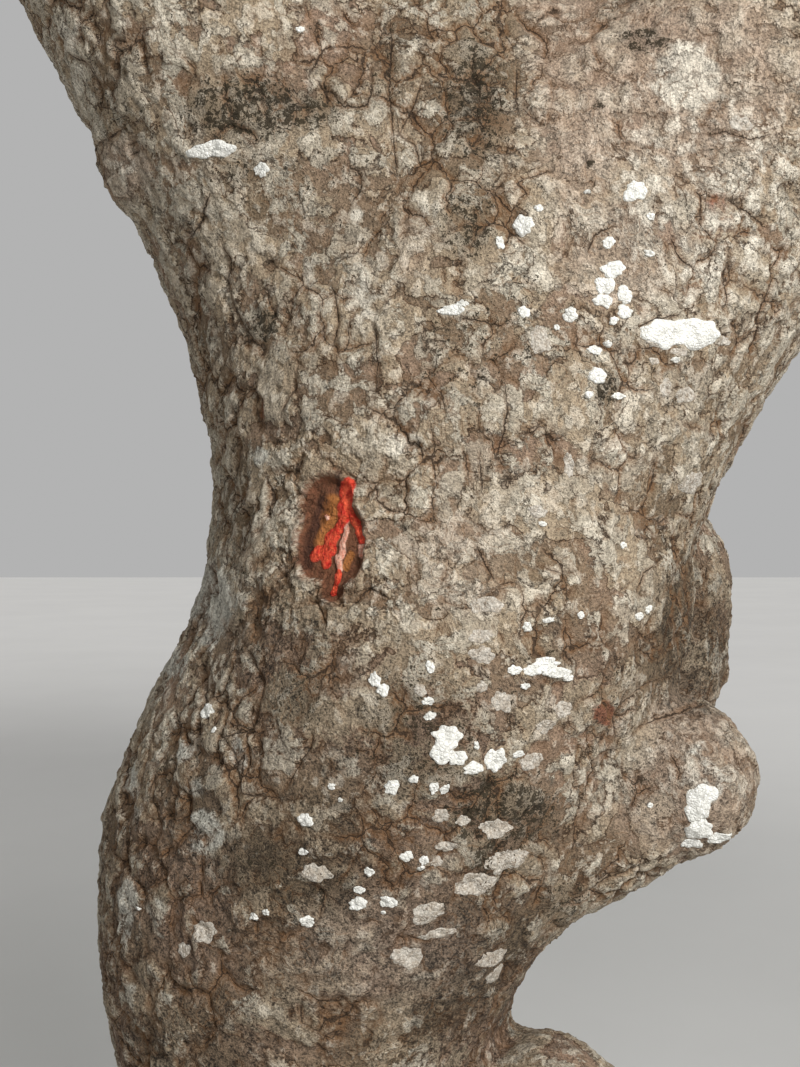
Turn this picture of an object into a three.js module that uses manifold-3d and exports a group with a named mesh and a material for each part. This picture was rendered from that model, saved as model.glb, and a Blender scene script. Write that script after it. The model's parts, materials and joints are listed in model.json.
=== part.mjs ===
// A marula tree that forks low: a knobbly trunk, three leading boughs, ten side boughs and thirteen
// masses of foliage. Millimetres, +Z up, -Y towards the viewer, origin at the middle of the trunk's foot.
import * as THREE from "three";
import { mergeVertices } from "three/addons/utils/BufferGeometryUtils.js";
import Module from "manifold-3d";

const wasm = await Module();
wasm.setup();

// Gap kept between pieces that touch
const GAP = 0.3;

// The trunk's stem, from its foot to the fork: height, middle and radius of each section
const STEM = [
  { z: 0, x: 0, y: 8, r: 206 },
  { z: 180, x: -6, y: 10, r: 192 },
  { z: 420, x: -16, y: 12, r: 180 },
  { z: 640, x: -6, y: 6, r: 160 },
  { z: 797, x: 0, y: 0, r: 146 },
  { z: 860, x: -4, y: 0, r: 150 },
  { z: 925, x: 10, y: 0, r: 164 },
  { z: 999, x: 35, y: 0, r: 183 },
  { z: 1074, x: 64, y: 0, r: 193 },
  { z: 1150, x: 88, y: 0, r: 184 },
  { z: 1225, x: 93, y: 0, r: 170 },
  { z: 1270, x: 99, y: 0, r: 168 },
];

// Root flare: how far it stands out at the ground, how fast it fades, and its buttresses
const FLARE = { out: 120, fade: 135, lobes: 5, depth: 0.42, turn: 0.9 };

// The three limbs of the fork, each a tapering cone with a length along its own direction
const FORK = {
  left: { from: [70, -8, 1300], aim: [-0.436, -0.03, 0.9], length: 520, r0: 128, r1: 126 },
  middle: { from: [136, 44, 1290], aim: [0.12, 0.2, 0.97], length: 500, r0: 154, r1: 136 },
  right: { from: [113, 0, 1288], aim: [0.655, -0.05, 0.754], length: 540, r0: 156, r1: 146 },
};
const FORK_BLEND = 46;

// Burls, stubs and knots: a cone from the inner to the outer ball, blended into the stem. The last
// fills the fork's crotch.
const KNOBS = [
  { from: [112, -42, 988], to: [247, -70, 1032], r0: 85, r1: 56, blend: 22 },
  { from: [50, -14, 742], to: [156, -62, 776], r0: 112, r1: 72, blend: 20 },
  { from: [248, 74, 1160], to: [246, 74, 1104], r0: 79, r1: 77, blend: 18 },
  { from: [-64, -30, 1463], to: [-114, -50, 1463], r0: 62, r1: 37, blend: 12 },
  { from: [-60, 60, 590], to: [-118, 92, 560], r0: 104, r1: 74, blend: 40 },
  { from: [110, 90, 1000], to: [96, 142, 960], r0: 90, r1: 70, blend: 44 },
  { from: [100, -30, 1390], to: [106, -12, 1580], r0: 122, r1: 92, blend: 52 },
];

// The hollows and swellings of the surface between the burls
const RIPPLE = { depth: 5, tall: 92, wide: 128 };

// The trunk's skin is sampled along rays: level ones up to the junction, then a fan from the junction.
// The levels stand closer together above the knee, where the burls are.
const SKIN = {
  sectors: 30,
  lowLevels: 7,
  knee: 690,
  levels: 24,
  fans: 9,
  junction: [112, 10, 1395],
  lastFan: 1.47,
  reach: 760,
  step: 6,
  halvings: 18,
  sawMargin: 45,
};

// The crown: where its middle stands, and its three tiers of masses
const CROWN = { x: 140, y: 0, gap: 60, skirt: 2500 };
const TIERS = [
  { name: "low", count: 7, out: 2330, z: 3820, turn: 15, size: [1380, 1380, 1090] },
  { name: "high", count: 5, out: 1330, z: 5230, turn: -15, size: [1340, 1340, 1080] },
  { name: "top", count: 1, out: 120, z: 6010, turn: 80, size: [1240, 1240, 990] },
];
// How far a mass may stray from its tier's even ring
const JITTER = { out: 260, z: 240, turn: 9 };

// Each bough: what it grows from, how far along that, the mass it carries and its radii
const BOUGHS = [
  { name: "left", fork: "left", mass: "high_4", r0: 124, r1: 42 },
  { name: "middle", fork: "middle", mass: "top_1", r0: 136, r1: 40 },
  { name: "right", fork: "right", mass: "high_1", r0: 146, r1: 42 },
  { name: "left_front", parent: "left", at: 0.16, mass: "low_5", r0: 74, r1: 34 },
  { name: "left_side", parent: "left", at: 0.3, mass: "low_4", r0: 78, r1: 34 },
  { name: "left_back", parent: "left", at: 0.46, mass: "low_3", r0: 66, r1: 32 },
  { name: "right_front", parent: "right", at: 0.13, mass: "low_6", r0: 76, r1: 34 },
  { name: "right_corner", parent: "right", at: 0.27, mass: "low_7", r0: 76, r1: 34 },
  { name: "right_side", parent: "right", at: 0.42, mass: "low_1", r0: 74, r1: 34 },
  { name: "middle_back", parent: "middle", at: 0.14, mass: "low_2", r0: 76, r1: 34 },
  { name: "middle_right", parent: "middle", at: 0.4, mass: "high_2", r0: 62, r1: 32 },
  { name: "middle_left", parent: "middle", at: 0.3, mass: "high_3", r0: 64, r1: 32 },
  { name: "middle_front", parent: "middle", at: 0.52, mass: "high_5", r0: 56, r1: 30 },
];
const BOUGH = { sides: 8, rings: 8, wander: 0.06, spring: 0.36, arrive: 0.3, entry: 0.8 };

// A mass: its stem, the twigs that leave it on all sides, and a blade for each spray of leaves
const STEM_TWIG = { r0: 32, r1: 26, past: 0.2, blades: 4 };
const TWIGS = { count: 9, r0: 26, r1: 22, near: 0.46, far: 0.64, rise: 0.12, shy: -0.5, blades: 5 };
const BLADE = { length: 600, width: 350, thick: 12, root: 6, end: 24, droop: 0.3, roll: 2, spacing: 0.2 };

// What twigs and blades keep clear of: a margin round the limbs, and the shortest twig worth growing
const CLEAR = { leaf: 40, twig: 24, shortest: 150 };

// The room that a blade takes up: beads in it, by shares of its length, half width and bead radius
const ROOM = { radius: 72, twig: 20, step: 70 };
const BLADE_BEADS = [
  { along: 0.34, out: 0, r: 0.8 },
  { along: 0.6, out: 0, r: 1 },
  { along: 0.86, out: 0, r: 0.6 },
  { along: 0.5, out: 0.66, r: 0.7 },
  { along: 0.5, out: -0.66, r: 0.7 },
];
const GOLDEN_TURN = Math.PI * (3 - Math.sqrt(5));

const BARK = new THREE.MeshStandardMaterial({ color: 0x8d8072, roughness: 0.93, metalness: 0 });
const LEAF = new THREE.MeshStandardMaterial({ color: 0x5d7a3c, roughness: 0.6, metalness: 0 });

const at = (list) => new THREE.Vector3(...list);
const mix = (a, b, t) => a + (b - a) * t;

// A draw between 0 and 1 that gives the same run for the same seed
function seeded(seed) {
  let state = seed;
  return () => {
    state = (1664525 * state + 1013904223) % 4294967296;
    return state / 4294967296;
  };
}

// A closed geometry as a solid that can be joined and cut
function solidOf(geometry) {
  const bare = new THREE.BufferGeometry().setAttribute("position", geometry.getAttribute("position"));
  bare.setIndex(geometry.index);
  const merged = mergeVertices(bare, 1e-3);
  return new wasm.Manifold(
    new wasm.Mesh({
      numProp: 3,
      vertProperties: new Float32Array(merged.getAttribute("position").array),
      triVerts: new Uint32Array(merged.index.array),
    }),
  );
}

// The largest body of a solid as a named mesh
function meshOf(name, solid, material) {
  const bodies = solid.decompose().sort((a, b) => b.volume() - a.volume());
  const made = bodies[0].getMesh();
  const geometry = new THREE.BufferGeometry();
  geometry.setAttribute("position", new THREE.BufferAttribute(made.vertProperties, 3));
  geometry.setIndex(new THREE.BufferAttribute(made.triVerts, 1));
  geometry.computeVertexNormals();
  const mesh = new THREE.Mesh(geometry, material);
  mesh.name = name;
  return mesh;
}

// A cylinder bent along a path: centreAt and radiusAt give its middle and radius at 0 to 1
function bentSolid(centreAt, radiusAt, sides, rings) {
  const path = new THREE.Curve();
  path.getPoint = (t) => centreAt(THREE.MathUtils.clamp(t, 0, 1));
  path.getUtoTmapping = (t) => t;
  const frames = path.computeFrenetFrames(rings, false);
  const geometry = new THREE.CylinderGeometry(1, 1, 1, sides, rings);
  const place = geometry.getAttribute("position");
  for (let i = 0; i < place.count; i++) {
    const ring = Math.round((place.getY(i) + 0.5) * rings);
    const t = ring / rings;
    const point = centreAt(t)
      .addScaledVector(frames.binormals[ring], place.getX(i) * radiusAt(t))
      .addScaledVector(frames.normals[ring], place.getZ(i) * radiusAt(t));
    place.setXYZ(i, point.x, point.y, point.z);
  }
  return solidOf(geometry);
}

// The trunk's surface as a distance: below zero inside, above zero outside

function smoothMin(a, b, blend) {
  const share = Math.max(blend - Math.abs(a - b), 0) / blend;
  return Math.min(a, b) - (share * share * blend) / 4;
}

function coneDistance(p, from, to, r0, r1) {
  const along = to.clone().sub(from);
  const t = THREE.MathUtils.clamp(p.clone().sub(from).dot(along) / along.lengthSq(), 0, 1);
  return p.distanceTo(from.clone().addScaledVector(along, t)) - mix(r0, r1, t);
}

// The stem's section at a height, with its values eased from one named section to the next
function stemAt(z) {
  const last = STEM.length - 1;
  const height = THREE.MathUtils.clamp(z, STEM[0].z, STEM[last].z);
  const i = Math.min(last - 1, STEM.findLastIndex((s) => s.z <= height));
  const t = (height - STEM[i].z) / (STEM[i + 1].z - STEM[i].z);
  const eased = (key) => {
    const before = STEM[Math.max(i - 1, 0)];
    const after = STEM[Math.min(i + 2, last)];
    const span = STEM[i + 1].z - STEM[i].z;
    const slope0 = ((STEM[i + 1][key] - before[key]) / (STEM[i + 1].z - before.z)) * span;
    const slope1 = ((after[key] - STEM[i][key]) / (after.z - STEM[i].z)) * span;
    const turn = t * t * (3 - 2 * t);
    const lead = t * (1 - t) * (1 - t);
    const trail = t * t * (1 - t);
    return mix(STEM[i][key], STEM[i + 1][key], turn) + lead * slope0 - trail * slope1;
  };
  return { x: eased("x"), y: eased("y"), r: eased("r") };
}

function stemDistance(p) {
  const section = stemAt(p.z);
  const dx = p.x - section.x;
  const dy = p.y - section.y;
  const round = Math.atan2(dy, dx);
  const lobes = Math.cos(FLARE.lobes * round + FLARE.turn) + 0.5 * Math.cos(3 * round + 2);
  const flare = FLARE.out * Math.exp(-Math.max(p.z, 0) / FLARE.fade) * (1 + FLARE.depth * lobes);
  const above = Math.max(p.z - STEM[STEM.length - 1].z, 0);
  return Math.hypot(dx, dy, above) - section.r - flare;
}

const FORK_LIMBS = Object.values(FORK).map((limb) => {
  const from = at(limb.from);
  const to = from.clone().addScaledVector(at(limb.aim).normalize(), limb.length);
  return { ...limb, from, to };
});
const KNOB_CONES = KNOBS.map((knob) => ({ ...knob, from: at(knob.from), to: at(knob.to) }));

function trunkDistance(p) {
  let d = stemDistance(p);
  for (const limb of FORK_LIMBS)
    d = smoothMin(d, coneDistance(p, limb.from, limb.to, limb.r0, limb.r1), FORK_BLEND);
  for (const knob of KNOB_CONES)
    d = smoothMin(d, coneDistance(p, knob.from, knob.to, knob.r0, knob.r1), knob.blend);
  const waves =
    Math.sin(p.z / RIPPLE.tall + (2 * p.x) / RIPPLE.wide) * Math.cos((p.x - p.y) / RIPPLE.wide) +
    0.6 * Math.sin((1.9 * p.z) / RIPPLE.tall - (1.3 * p.y) / RIPPLE.wide);
  return d - RIPPLE.depth * waves;
}

// The outermost point of the surface on a ray
function surfaceOn(origin, aim) {
  const p = new THREE.Vector3();
  const distanceAt = (t) => trunkDistance(p.copy(aim).multiplyScalar(t).add(origin));
  let outside = SKIN.reach;
  while (outside > SKIN.step && distanceAt(outside) > 0) outside -= SKIN.step;
  let inside = outside;
  outside += SKIN.step;
  for (let i = 0; i < SKIN.halvings; i++) {
    const middle = (inside + outside) / 2;
    if (distanceAt(middle) > 0) outside = middle;
    else inside = middle;
  }
  return aim.clone().multiplyScalar(inside).add(origin);
}

// A cylinder whose every vertex is moved out to the trunk's surface, then cut flat at each limb's end
function trunkSolid() {
  const rows = SKIN.levels + SKIN.fans;
  const geometry = new THREE.CylinderGeometry(1, 1, 1, SKIN.sectors, rows);
  const place = geometry.getAttribute("position");
  const junction = at(SKIN.junction);
  for (let i = 0; i < place.count; i++) {
    const x = place.getX(i);
    const y = -place.getZ(i);
    const row = Math.round((place.getY(i) + 0.5) * rows);
    const middle = Math.hypot(x, y) < 0.5;
    const origin = junction.clone();
    const aim = new THREE.Vector3(x, y, 0);
    if (row <= SKIN.levels) {
      const low = SKIN.knee * Math.pow(row / SKIN.lowLevels, 1.3);
      const high = mix(SKIN.knee, junction.z, (row - SKIN.lowLevels) / (SKIN.levels - SKIN.lowLevels));
      const z = row < SKIN.lowLevels ? low : high;
      const section = stemAt(z);
      const lean = THREE.MathUtils.smoothstep(z, STEM[STEM.length - 3].z, junction.z);
      origin.set(mix(section.x, junction.x, lean), mix(section.y, junction.y, lean), z);
    } else {
      const lift = (SKIN.lastFan * (row - SKIN.levels)) / SKIN.fans;
      aim.set(x * Math.cos(lift), y * Math.cos(lift), Math.sin(lift));
    }
    if (middle) aim.set(0, 0, 1);
    const point = middle && row === 0 ? origin : surfaceOn(origin, aim.normalize());
    place.setXYZ(i, point.x, point.y, row === 0 ? 0 : point.z);
  }
  let solid = solidOf(geometry);
  for (const limb of FORK_LIMBS) {
    const radius = limb.r1 + SKIN.sawMargin;
    const saw = new THREE.CylinderGeometry(radius, radius, 2 * limb.r1, SKIN.sectors, 1);
    saw.translate(0, limb.r1, 0);
    const aim = limb.to.clone().sub(limb.from).normalize();
    saw.applyQuaternion(new THREE.Quaternion().setFromUnitVectors(new THREE.Vector3(0, 1, 0), aim));
    solid = solid.subtract(solidOf(saw.translate(limb.to.x, limb.to.y, limb.to.z)));
  }
  return solid;
}

// The masses' spaces: an ellipsoid each, parted from the others half way between their middles
function layMasses() {
  const random = seeded(20);
  const masses = [];
  for (const tier of TIERS)
    for (let i = 0; i < tier.count; i++) {
      const loose = tier.count > 1 ? 1 : 0;
      const turn = tier.turn + (360 * i) / tier.count + loose * JITTER.turn * (2 * random() - 1);
      const out = tier.out + loose * JITTER.out * (random() - 0.5);
      const z = tier.z + loose * JITTER.z * (random() - 0.5);
      const angle = THREE.MathUtils.degToRad(turn);
      const middle = new THREE.Vector3(CROWN.x + out * Math.cos(angle), CROWN.y + out * Math.sin(angle), z);
      const seed = 101 + 37 * masses.length;
      masses.push({ name: `${tier.name}_${i + 1}`, middle, size: at(tier.size), seed });
    }
  return masses;
}
const MASSES = layMasses();

function inSpace(mass, p, share = 1) {
  if (p.z < CROWN.skirt || p.clone().sub(mass.middle).divide(mass.size).length() > share) return false;
  return MASSES.every((other) => {
    if (other === mass) return true;
    const apart = other.middle.clone().sub(mass.middle);
    const half = apart.length() / 2 - CROWN.gap / 2;
    return p.clone().sub(mass.middle).dot(apart.normalize()) < half;
  });
}

// The boughs' paths: a curve that leaves its parent and arrives at the door of its mass
function wandering(from, aim, to, seed) {
  const span = to.distanceTo(from);
  const straight = to.clone().sub(from).normalize();
  const first = from.clone().addScaledVector(aim, span * BOUGH.spring);
  const last = to.clone().addScaledVector(straight, -span * BOUGH.arrive);
  const random = seeded(seed);
  const phases = [random(), random(), random()].map((v) => v * 2 * Math.PI);
  return (t) => {
    const s = 1 - t;
    const p = from.clone().multiplyScalar(s * s * s).addScaledVector(first, 3 * s * s * t);
    p.addScaledVector(last, 3 * s * t * t).addScaledVector(to, t * t * t);
    const sway = BOUGH.wander * span * Math.sin(Math.PI * t) ** 2;
    const swing = (k) => sway * Math.sin(phases[k] + (5.5 + 2 * k) * t);
    return p.add(new THREE.Vector3(swing(0), swing(1), 0.6 * swing(2)));
  };
}

// Where a straight run from a point enters a mass's space
function doorOf(mass, from) {
  const way = mass.middle.clone().sub(from);
  const steps = 400;
  for (let i = 1; i < steps; i++) {
    const p = from.clone().addScaledVector(way, i / steps);
    if (inSpace(mass, p, BOUGH.entry)) return p;
  }
  throw new Error(`no way into ${mass.name}`);
}

const boughs = new Map();
BOUGHS.forEach((bough, index) => {
  const mass = MASSES.find((m) => m.name === bough.mass);
  let from;
  let aim;
  if (bough.fork) {
    const limb = FORK_LIMBS[Object.keys(FORK).indexOf(bough.fork)];
    aim = limb.to.clone().sub(limb.from).normalize();
    from = limb.to.clone().addScaledVector(aim, GAP);
  } else {
    const parent = boughs.get(bough.parent);
    from = parent.centreAt(bough.at);
    const tangent = parent.centreAt(bough.at + 0.02).sub(from).normalize();
    aim = mass.middle.clone().sub(from).normalize().addScaledVector(tangent, 0.5).normalize();
  }
  const door = doorOf(mass, from);
  const centreAt = wandering(from, aim, door, 7 + 13 * index);
  const taper = (t) => mix(bough.r0, bough.r1, Math.pow(t, 0.8));
  boughs.set(bough.name, { ...bough, mass, door, centreAt, radiusAt: taper });
});

// Beads along the boughs, for what must keep clear of them
const LIMB_BEADS = [...boughs.values()].flatMap((bough) =>
  Array.from({ length: 25 }, (_, i) => ({ p: bough.centreAt(i / 24), r: bough.radiusAt(i / 24) })),
);
const clearOfLimbs = (p, margin) => LIMB_BEADS.every((bead) => bead.p.distanceTo(p) > bead.r + margin);

function boughSolid(bough) {
  const solid = bentSolid(bough.centreAt, bough.radiusAt, BOUGH.sides, BOUGH.rings);
  if (bough.fork) return solid;
  const parent = boughs.get(bough.parent);
  const swollenAt = (t) => parent.radiusAt(t) + GAP * 1.2;
  return solid.subtract(bentSolid(parent.centreAt, swollenAt, BOUGH.sides, BOUGH.rings));
}

// A three-sided twig through the points given
function twigSolid(points, r0, r1) {
  const spans = points.length - 1;
  const centreAt = (t) => {
    const k = Math.min(spans - 1, Math.floor(t * spans));
    return points[k].clone().lerp(points[k + 1], t * spans - k);
  };
  return bentSolid(centreAt, (t) => mix(r0, r1, t), 3, spans);
}

// A blade of eight faces that stands for a spray, its root sunk in the twig
function bladeSolid(root, aim, side) {
  const flat = aim.clone().cross(side).normalize();
  const size = new THREE.Matrix4().makeScale(BLADE.length / 2, BLADE.width / 2, BLADE.thick / 2);
  const turn = new THREE.Matrix4().makeBasis(aim, side, flat);
  const middle = root.clone().addScaledVector(aim, BLADE.length / 2 - BLADE.root);
  const place = new THREE.Matrix4().makeTranslation(middle).multiply(turn).multiply(size);
  return solidOf(new THREE.OctahedronGeometry(1, 0).applyMatrix4(place));
}

// A twig or blade is kept if all these points are in the mass's space and clear of the limbs
function fits(mass, points, margin) {
  return points.every((p) => inSpace(mass, p) && clearOfLimbs(p, margin));
}

// The mass's plan by its seed: its stem, then twigs spread round it by the golden turn.
// A twig is shy where its way leads back into the crown's shaded middle.
function planMass(mass) {
  const random = seeded(mass.seed);
  const bough = [...boughs.values()].find((b) => b.mass === mass);
  const arriving = bough.door.clone().sub(bough.centreAt(0.999)).normalize();
  const start = bough.door.clone().addScaledVector(arriving, GAP);
  const heart = mass.middle.clone().add(new THREE.Vector3(0, 0, STEM_TWIG.past * mass.size.z));
  const bend = start.clone().addScaledVector(arriving, 0.45 * heart.distanceTo(start));
  const stem = [start, bend, heart];
  const outward = new THREE.Vector3(mass.middle.x - CROWN.x, mass.middle.y - CROWN.y, 0).divideScalar(2500);
  outward.z = (mass.middle.z - 4300) / 1700;
  const twigs = [];
  for (let i = 0; i < TWIGS.count; i++) {
    const height = 1 - (2 * (i + 0.5)) / TWIGS.count;
    const turn = i * GOLDEN_TURN + 0.5 * random();
    const level = Math.sqrt(1 - height * height);
    const way = new THREE.Vector3(level * Math.cos(turn), level * Math.sin(turn), height);
    const reach = mix(TWIGS.near, TWIGS.far, random());
    const leave = 0.25 + 0.7 * random();
    twigs.push({ way, reach, leave, shy: way.dot(outward) < TWIGS.shy });
  }
  return { stem, twigs };
}

// The furthest point of a way from the mass's middle that is still in its space
function tipOf(mass, way, reach) {
  for (let share = reach; share > 0.3; share -= 0.02) {
    const p = way.clone().multiply(mass.size).multiplyScalar(share).add(mass.middle);
    if (inSpace(mass, p)) return p;
  }
  return null;
}

// Beads along a twig, for what has to keep out of its way
function twigBeads(points) {
  const beads = [];
  for (let k = 1; k < points.length; k++) {
    const steps = Math.max(1, Math.round(points[k].distanceTo(points[k - 1]) / ROOM.step));
    for (let i = 1; i <= steps; i++)
      beads.push({ p: points[k - 1].clone().lerp(points[k], i / steps), r: ROOM.twig });
  }
  return beads;
}

// Blades along a twig: the first carries on past its tip, the others leave it by turns on all sides.
// others holds the beads of the mass's other twigs, taken those of the blades grown so far.
function spray(mass, twig, others, taken, random) {
  const blades = [];
  const tip = twig.points[twig.points.length - 1];
  const from = twig.points[twig.points.length - 2];
  const aim = tip.clone().sub(from).normalize();
  for (let k = 0; k < twig.blades; k++) {
    const turn = random() * 0.8 + k * GOLDEN_TURN;
    const roll = BLADE.roll * (random() - 0.5);
    const flank = new THREE.Vector3(Math.cos(turn), Math.sin(turn), 0).cross(aim).normalize();
    const way = aim.clone().addScaledVector(flank, k === 0 ? 0.15 : 1.1);
    way.z -= BLADE.droop;
    way.normalize();
    const root = tip.clone().lerp(from, k * BLADE.spacing);
    if (k === 0) root.addScaledVector(aim, BLADE.root - BLADE.end);
    const side = new THREE.Vector3(0, 0, 1).cross(way).normalize().applyAxisAngle(way, roll);
    const on = (along, out) =>
      root
        .clone()
        .addScaledVector(way, along * BLADE.length)
        .addScaledVector(side, (out * BLADE.width) / 2);
    if (!fits(mass, [on(0.5, 1), on(0.5, -1), on(1, 0), on(0.5, 0)], CLEAR.leaf)) continue;
    const beads = BLADE_BEADS.map((bead) => ({ p: on(bead.along, bead.out), r: bead.r * ROOM.radius }));
    const meets = (bead) => (other) => other.p.distanceTo(bead.p) < other.r + bead.r;
    if (beads.some((bead) => others.some(meets(bead)) || taken.some(meets(bead)))) continue;
    taken.push(...beads);
    blades.push(bladeSolid(root, way, side));
  }
  return blades;
}

function massSolid(mass) {
  const { stem, twigs } = planMass(mass);
  const random = seeded(mass.seed + 5);
  const onStem = (t) =>
    t < 0.5 ? stem[0].clone().lerp(stem[1], 2 * t) : stem[1].clone().lerp(stem[2], 2 * t - 1);
  const grown = [{ points: stem, blades: STEM_TWIG.blades }];
  for (const twig of twigs) {
    if (twig.shy) continue;
    const from = onStem(twig.leave);
    const tip = tipOf(mass, twig.way, twig.reach);
    if (!tip || tip.distanceTo(from) < CLEAR.shortest) continue;
    const lift = new THREE.Vector3(0, 0, TWIGS.rise * tip.distanceTo(from));
    const elbow = from.clone().lerp(tip, 0.5).add(lift);
    const checks = [0.5, 0.75, 1].map((t) => from.clone().lerp(elbow, t));
    checks.push(...[0.33, 0.66, 1].map((t) => elbow.clone().lerp(tip, t)));
    if (fits(mass, checks, CLEAR.twig)) grown.push({ points: [from, elbow, tip], blades: TWIGS.blades });
  }
  let solid = twigSolid(stem, STEM_TWIG.r0, STEM_TWIG.r1);
  for (const twig of grown.slice(1)) solid = solid.add(twigSolid(twig.points, TWIGS.r0, TWIGS.r1));
  const taken = [];
  for (const twig of grown) {
    const others = grown.filter((other) => other !== twig).flatMap((other) => twigBeads(other.points));
    for (const blade of spray(mass, twig, others, taken, random)) solid = solid.add(blade);
  }
  return solid;
}

const tree = new THREE.Group();
tree.add(meshOf("trunk", trunkSolid(), BARK));
for (const bough of boughs.values()) tree.add(meshOf(`bough_${bough.name}`, boughSolid(bough), BARK));
for (const mass of MASSES) tree.add(meshOf(`foliage_${mass.name}`, massSolid(mass), LEAF));

export default tree;
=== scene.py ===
import json
import math
from functools import lru_cache
from types import SimpleNamespace

import bpy
import numpy as np
from bpy.props import FloatProperty, FloatVectorProperty, IntProperty, PointerProperty
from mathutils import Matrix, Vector
from mathutils.bvhtree import BVHTree

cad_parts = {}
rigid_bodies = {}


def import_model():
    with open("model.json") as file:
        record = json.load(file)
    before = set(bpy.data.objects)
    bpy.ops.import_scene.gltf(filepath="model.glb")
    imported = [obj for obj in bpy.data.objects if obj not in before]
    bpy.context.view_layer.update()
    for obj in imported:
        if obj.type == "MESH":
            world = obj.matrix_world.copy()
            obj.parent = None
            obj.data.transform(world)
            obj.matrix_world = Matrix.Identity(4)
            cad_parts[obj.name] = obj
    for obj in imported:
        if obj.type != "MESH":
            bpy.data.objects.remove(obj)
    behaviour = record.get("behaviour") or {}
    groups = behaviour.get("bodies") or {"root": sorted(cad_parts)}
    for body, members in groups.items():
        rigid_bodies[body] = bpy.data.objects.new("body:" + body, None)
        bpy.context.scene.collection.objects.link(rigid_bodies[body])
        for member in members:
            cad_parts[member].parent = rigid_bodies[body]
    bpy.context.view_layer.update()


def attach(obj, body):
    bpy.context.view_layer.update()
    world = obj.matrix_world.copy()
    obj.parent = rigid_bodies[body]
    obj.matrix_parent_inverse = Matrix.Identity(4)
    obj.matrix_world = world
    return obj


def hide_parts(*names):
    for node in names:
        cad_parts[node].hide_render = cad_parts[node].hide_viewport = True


bl_info = {
    "name": "Marula Tree",
    "version": (1, 0, 0),
    "blender": (4, 5, 0),
    "location": "View3D > Sidebar > Tree",
    "description": "Bark, boughs, twigs and leaves of a marula tree that forks low",
    "category": "Add Mesh",
}

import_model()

# The trunk's stem: height, middle and radius of each section
STEM = np.array(
    [
        (0, 0, 0.008, 0.206),
        (0.18, -0.006, 0.01, 0.192),
        (0.42, -0.016, 0.012, 0.18),
        (0.64, -0.006, 0.006, 0.16),
        (0.797, 0, 0, 0.146),
        (0.86, -0.004, 0, 0.15),
        (0.925, 0.01, 0, 0.164),
        (0.999, 0.035, 0, 0.183),
        (1.074, 0.064, 0, 0.193),
        (1.15, 0.088, 0, 0.184),
        (1.225, 0.093, 0, 0.17),
        (1.27, 0.099, 0, 0.168),
    ]
)
FLARE = SimpleNamespace(out=0.12, fade=0.135, lobes=5, depth=0.42, turn=0.9)

# The fork's limbs: where each starts, its direction, length and radii
FORK = {
    "left": ((0.07, -0.008, 1.3), (-0.436, -0.03, 0.9), 0.52, 0.128, 0.126),
    "middle": ((0.136, 0.044, 1.29), (0.12, 0.2, 0.97), 0.5, 0.154, 0.136),
    "right": ((0.113, 0, 1.288), (0.655, -0.05, 0.754), 0.54, 0.156, 0.146),
}
FORK_BLEND = 0.046

# Burls, stubs and knots: two balls with a cone between them, and how softly they meet the stem.
# The last fills the fork's crotch.
KNOBS = [
    ((0.112, -0.042, 0.988), (0.247, -0.07, 1.032), 0.085, 0.056, 0.022),
    ((0.05, -0.014, 0.742), (0.156, -0.062, 0.776), 0.112, 0.072, 0.02),
    ((0.248, 0.074, 1.16), (0.246, 0.074, 1.104), 0.079, 0.077, 0.018),
    ((-0.064, -0.03, 1.463), (-0.114, -0.05, 1.463), 0.062, 0.037, 0.012),
    ((-0.06, 0.06, 0.59), (-0.118, 0.092, 0.56), 0.104, 0.074, 0.04),
    ((0.11, 0.09, 1.0), (0.096, 0.142, 0.96), 0.09, 0.07, 0.044),
    ((0.1, -0.03, 1.39), (0.106, -0.012, 1.58), 0.122, 0.092, 0.052),
]
RIPPLE = SimpleNamespace(depth=0.005, tall=0.092, wide=0.128)

# The crown: its middle, how far it spreads and rises from there, the gap between masses, where it
# starts, and its tiers (name, count, out, height, turn, size)
CROWN = SimpleNamespace(x=0.14, y=0.0, z=4.3, spread=2.5, rise=1.7, gap=0.06, skirt=2.5)
TIERS = [
    ("low", 7, 2.33, 3.82, 15, (1.38, 1.38, 1.09)),
    ("high", 5, 1.33, 5.23, -15, (1.34, 1.34, 1.08)),
    ("top", 1, 0.12, 6.01, 80, (1.24, 1.24, 0.99)),
]
JITTER = SimpleNamespace(out=0.26, z=0.24, turn=9)

# Each bough: the limb or bough it grows from, how far along that, its mass and its radii
BOUGHS = [
    ("left", None, 0, "high_4", 0.124, 0.042),
    ("middle", None, 0, "top_1", 0.136, 0.04),
    ("right", None, 0, "high_1", 0.146, 0.042),
    ("left_front", "left", 0.16, "low_5", 0.074, 0.034),
    ("left_side", "left", 0.3, "low_4", 0.078, 0.034),
    ("left_back", "left", 0.46, "low_3", 0.066, 0.032),
    ("right_front", "right", 0.13, "low_6", 0.076, 0.034),
    ("right_corner", "right", 0.27, "low_7", 0.076, 0.034),
    ("right_side", "right", 0.42, "low_1", 0.074, 0.034),
    ("middle_back", "middle", 0.14, "low_2", 0.076, 0.034),
    ("middle_right", "middle", 0.4, "high_2", 0.062, 0.032),
    ("middle_left", "middle", 0.3, "high_3", 0.064, 0.032),
    ("middle_front", "middle", 0.52, "high_5", 0.056, 0.03),
]
BOUGH = SimpleNamespace(gap=0.0003, wander=0.06, spring=0.36, arrive=0.3, entry=0.8)

# The twigs of a mass, and the sprays that leave them
TWIGS = SimpleNamespace(
    past=0.2, bend=0.45, count=9, near=0.46, far=0.64, rise=0.12, shy=-0.5, stem_sprays=4, sprays=5
)
SPRAY = SimpleNamespace(length=0.6, width=0.35, root=0.006, end=0.024, droop=0.3, roll=2, spacing=0.2)
CLEAR = SimpleNamespace(leaf=0.04, twig=0.024, shortest=0.15)
GOLDEN_TURN = math.pi * (3 - math.sqrt(5))

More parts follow.
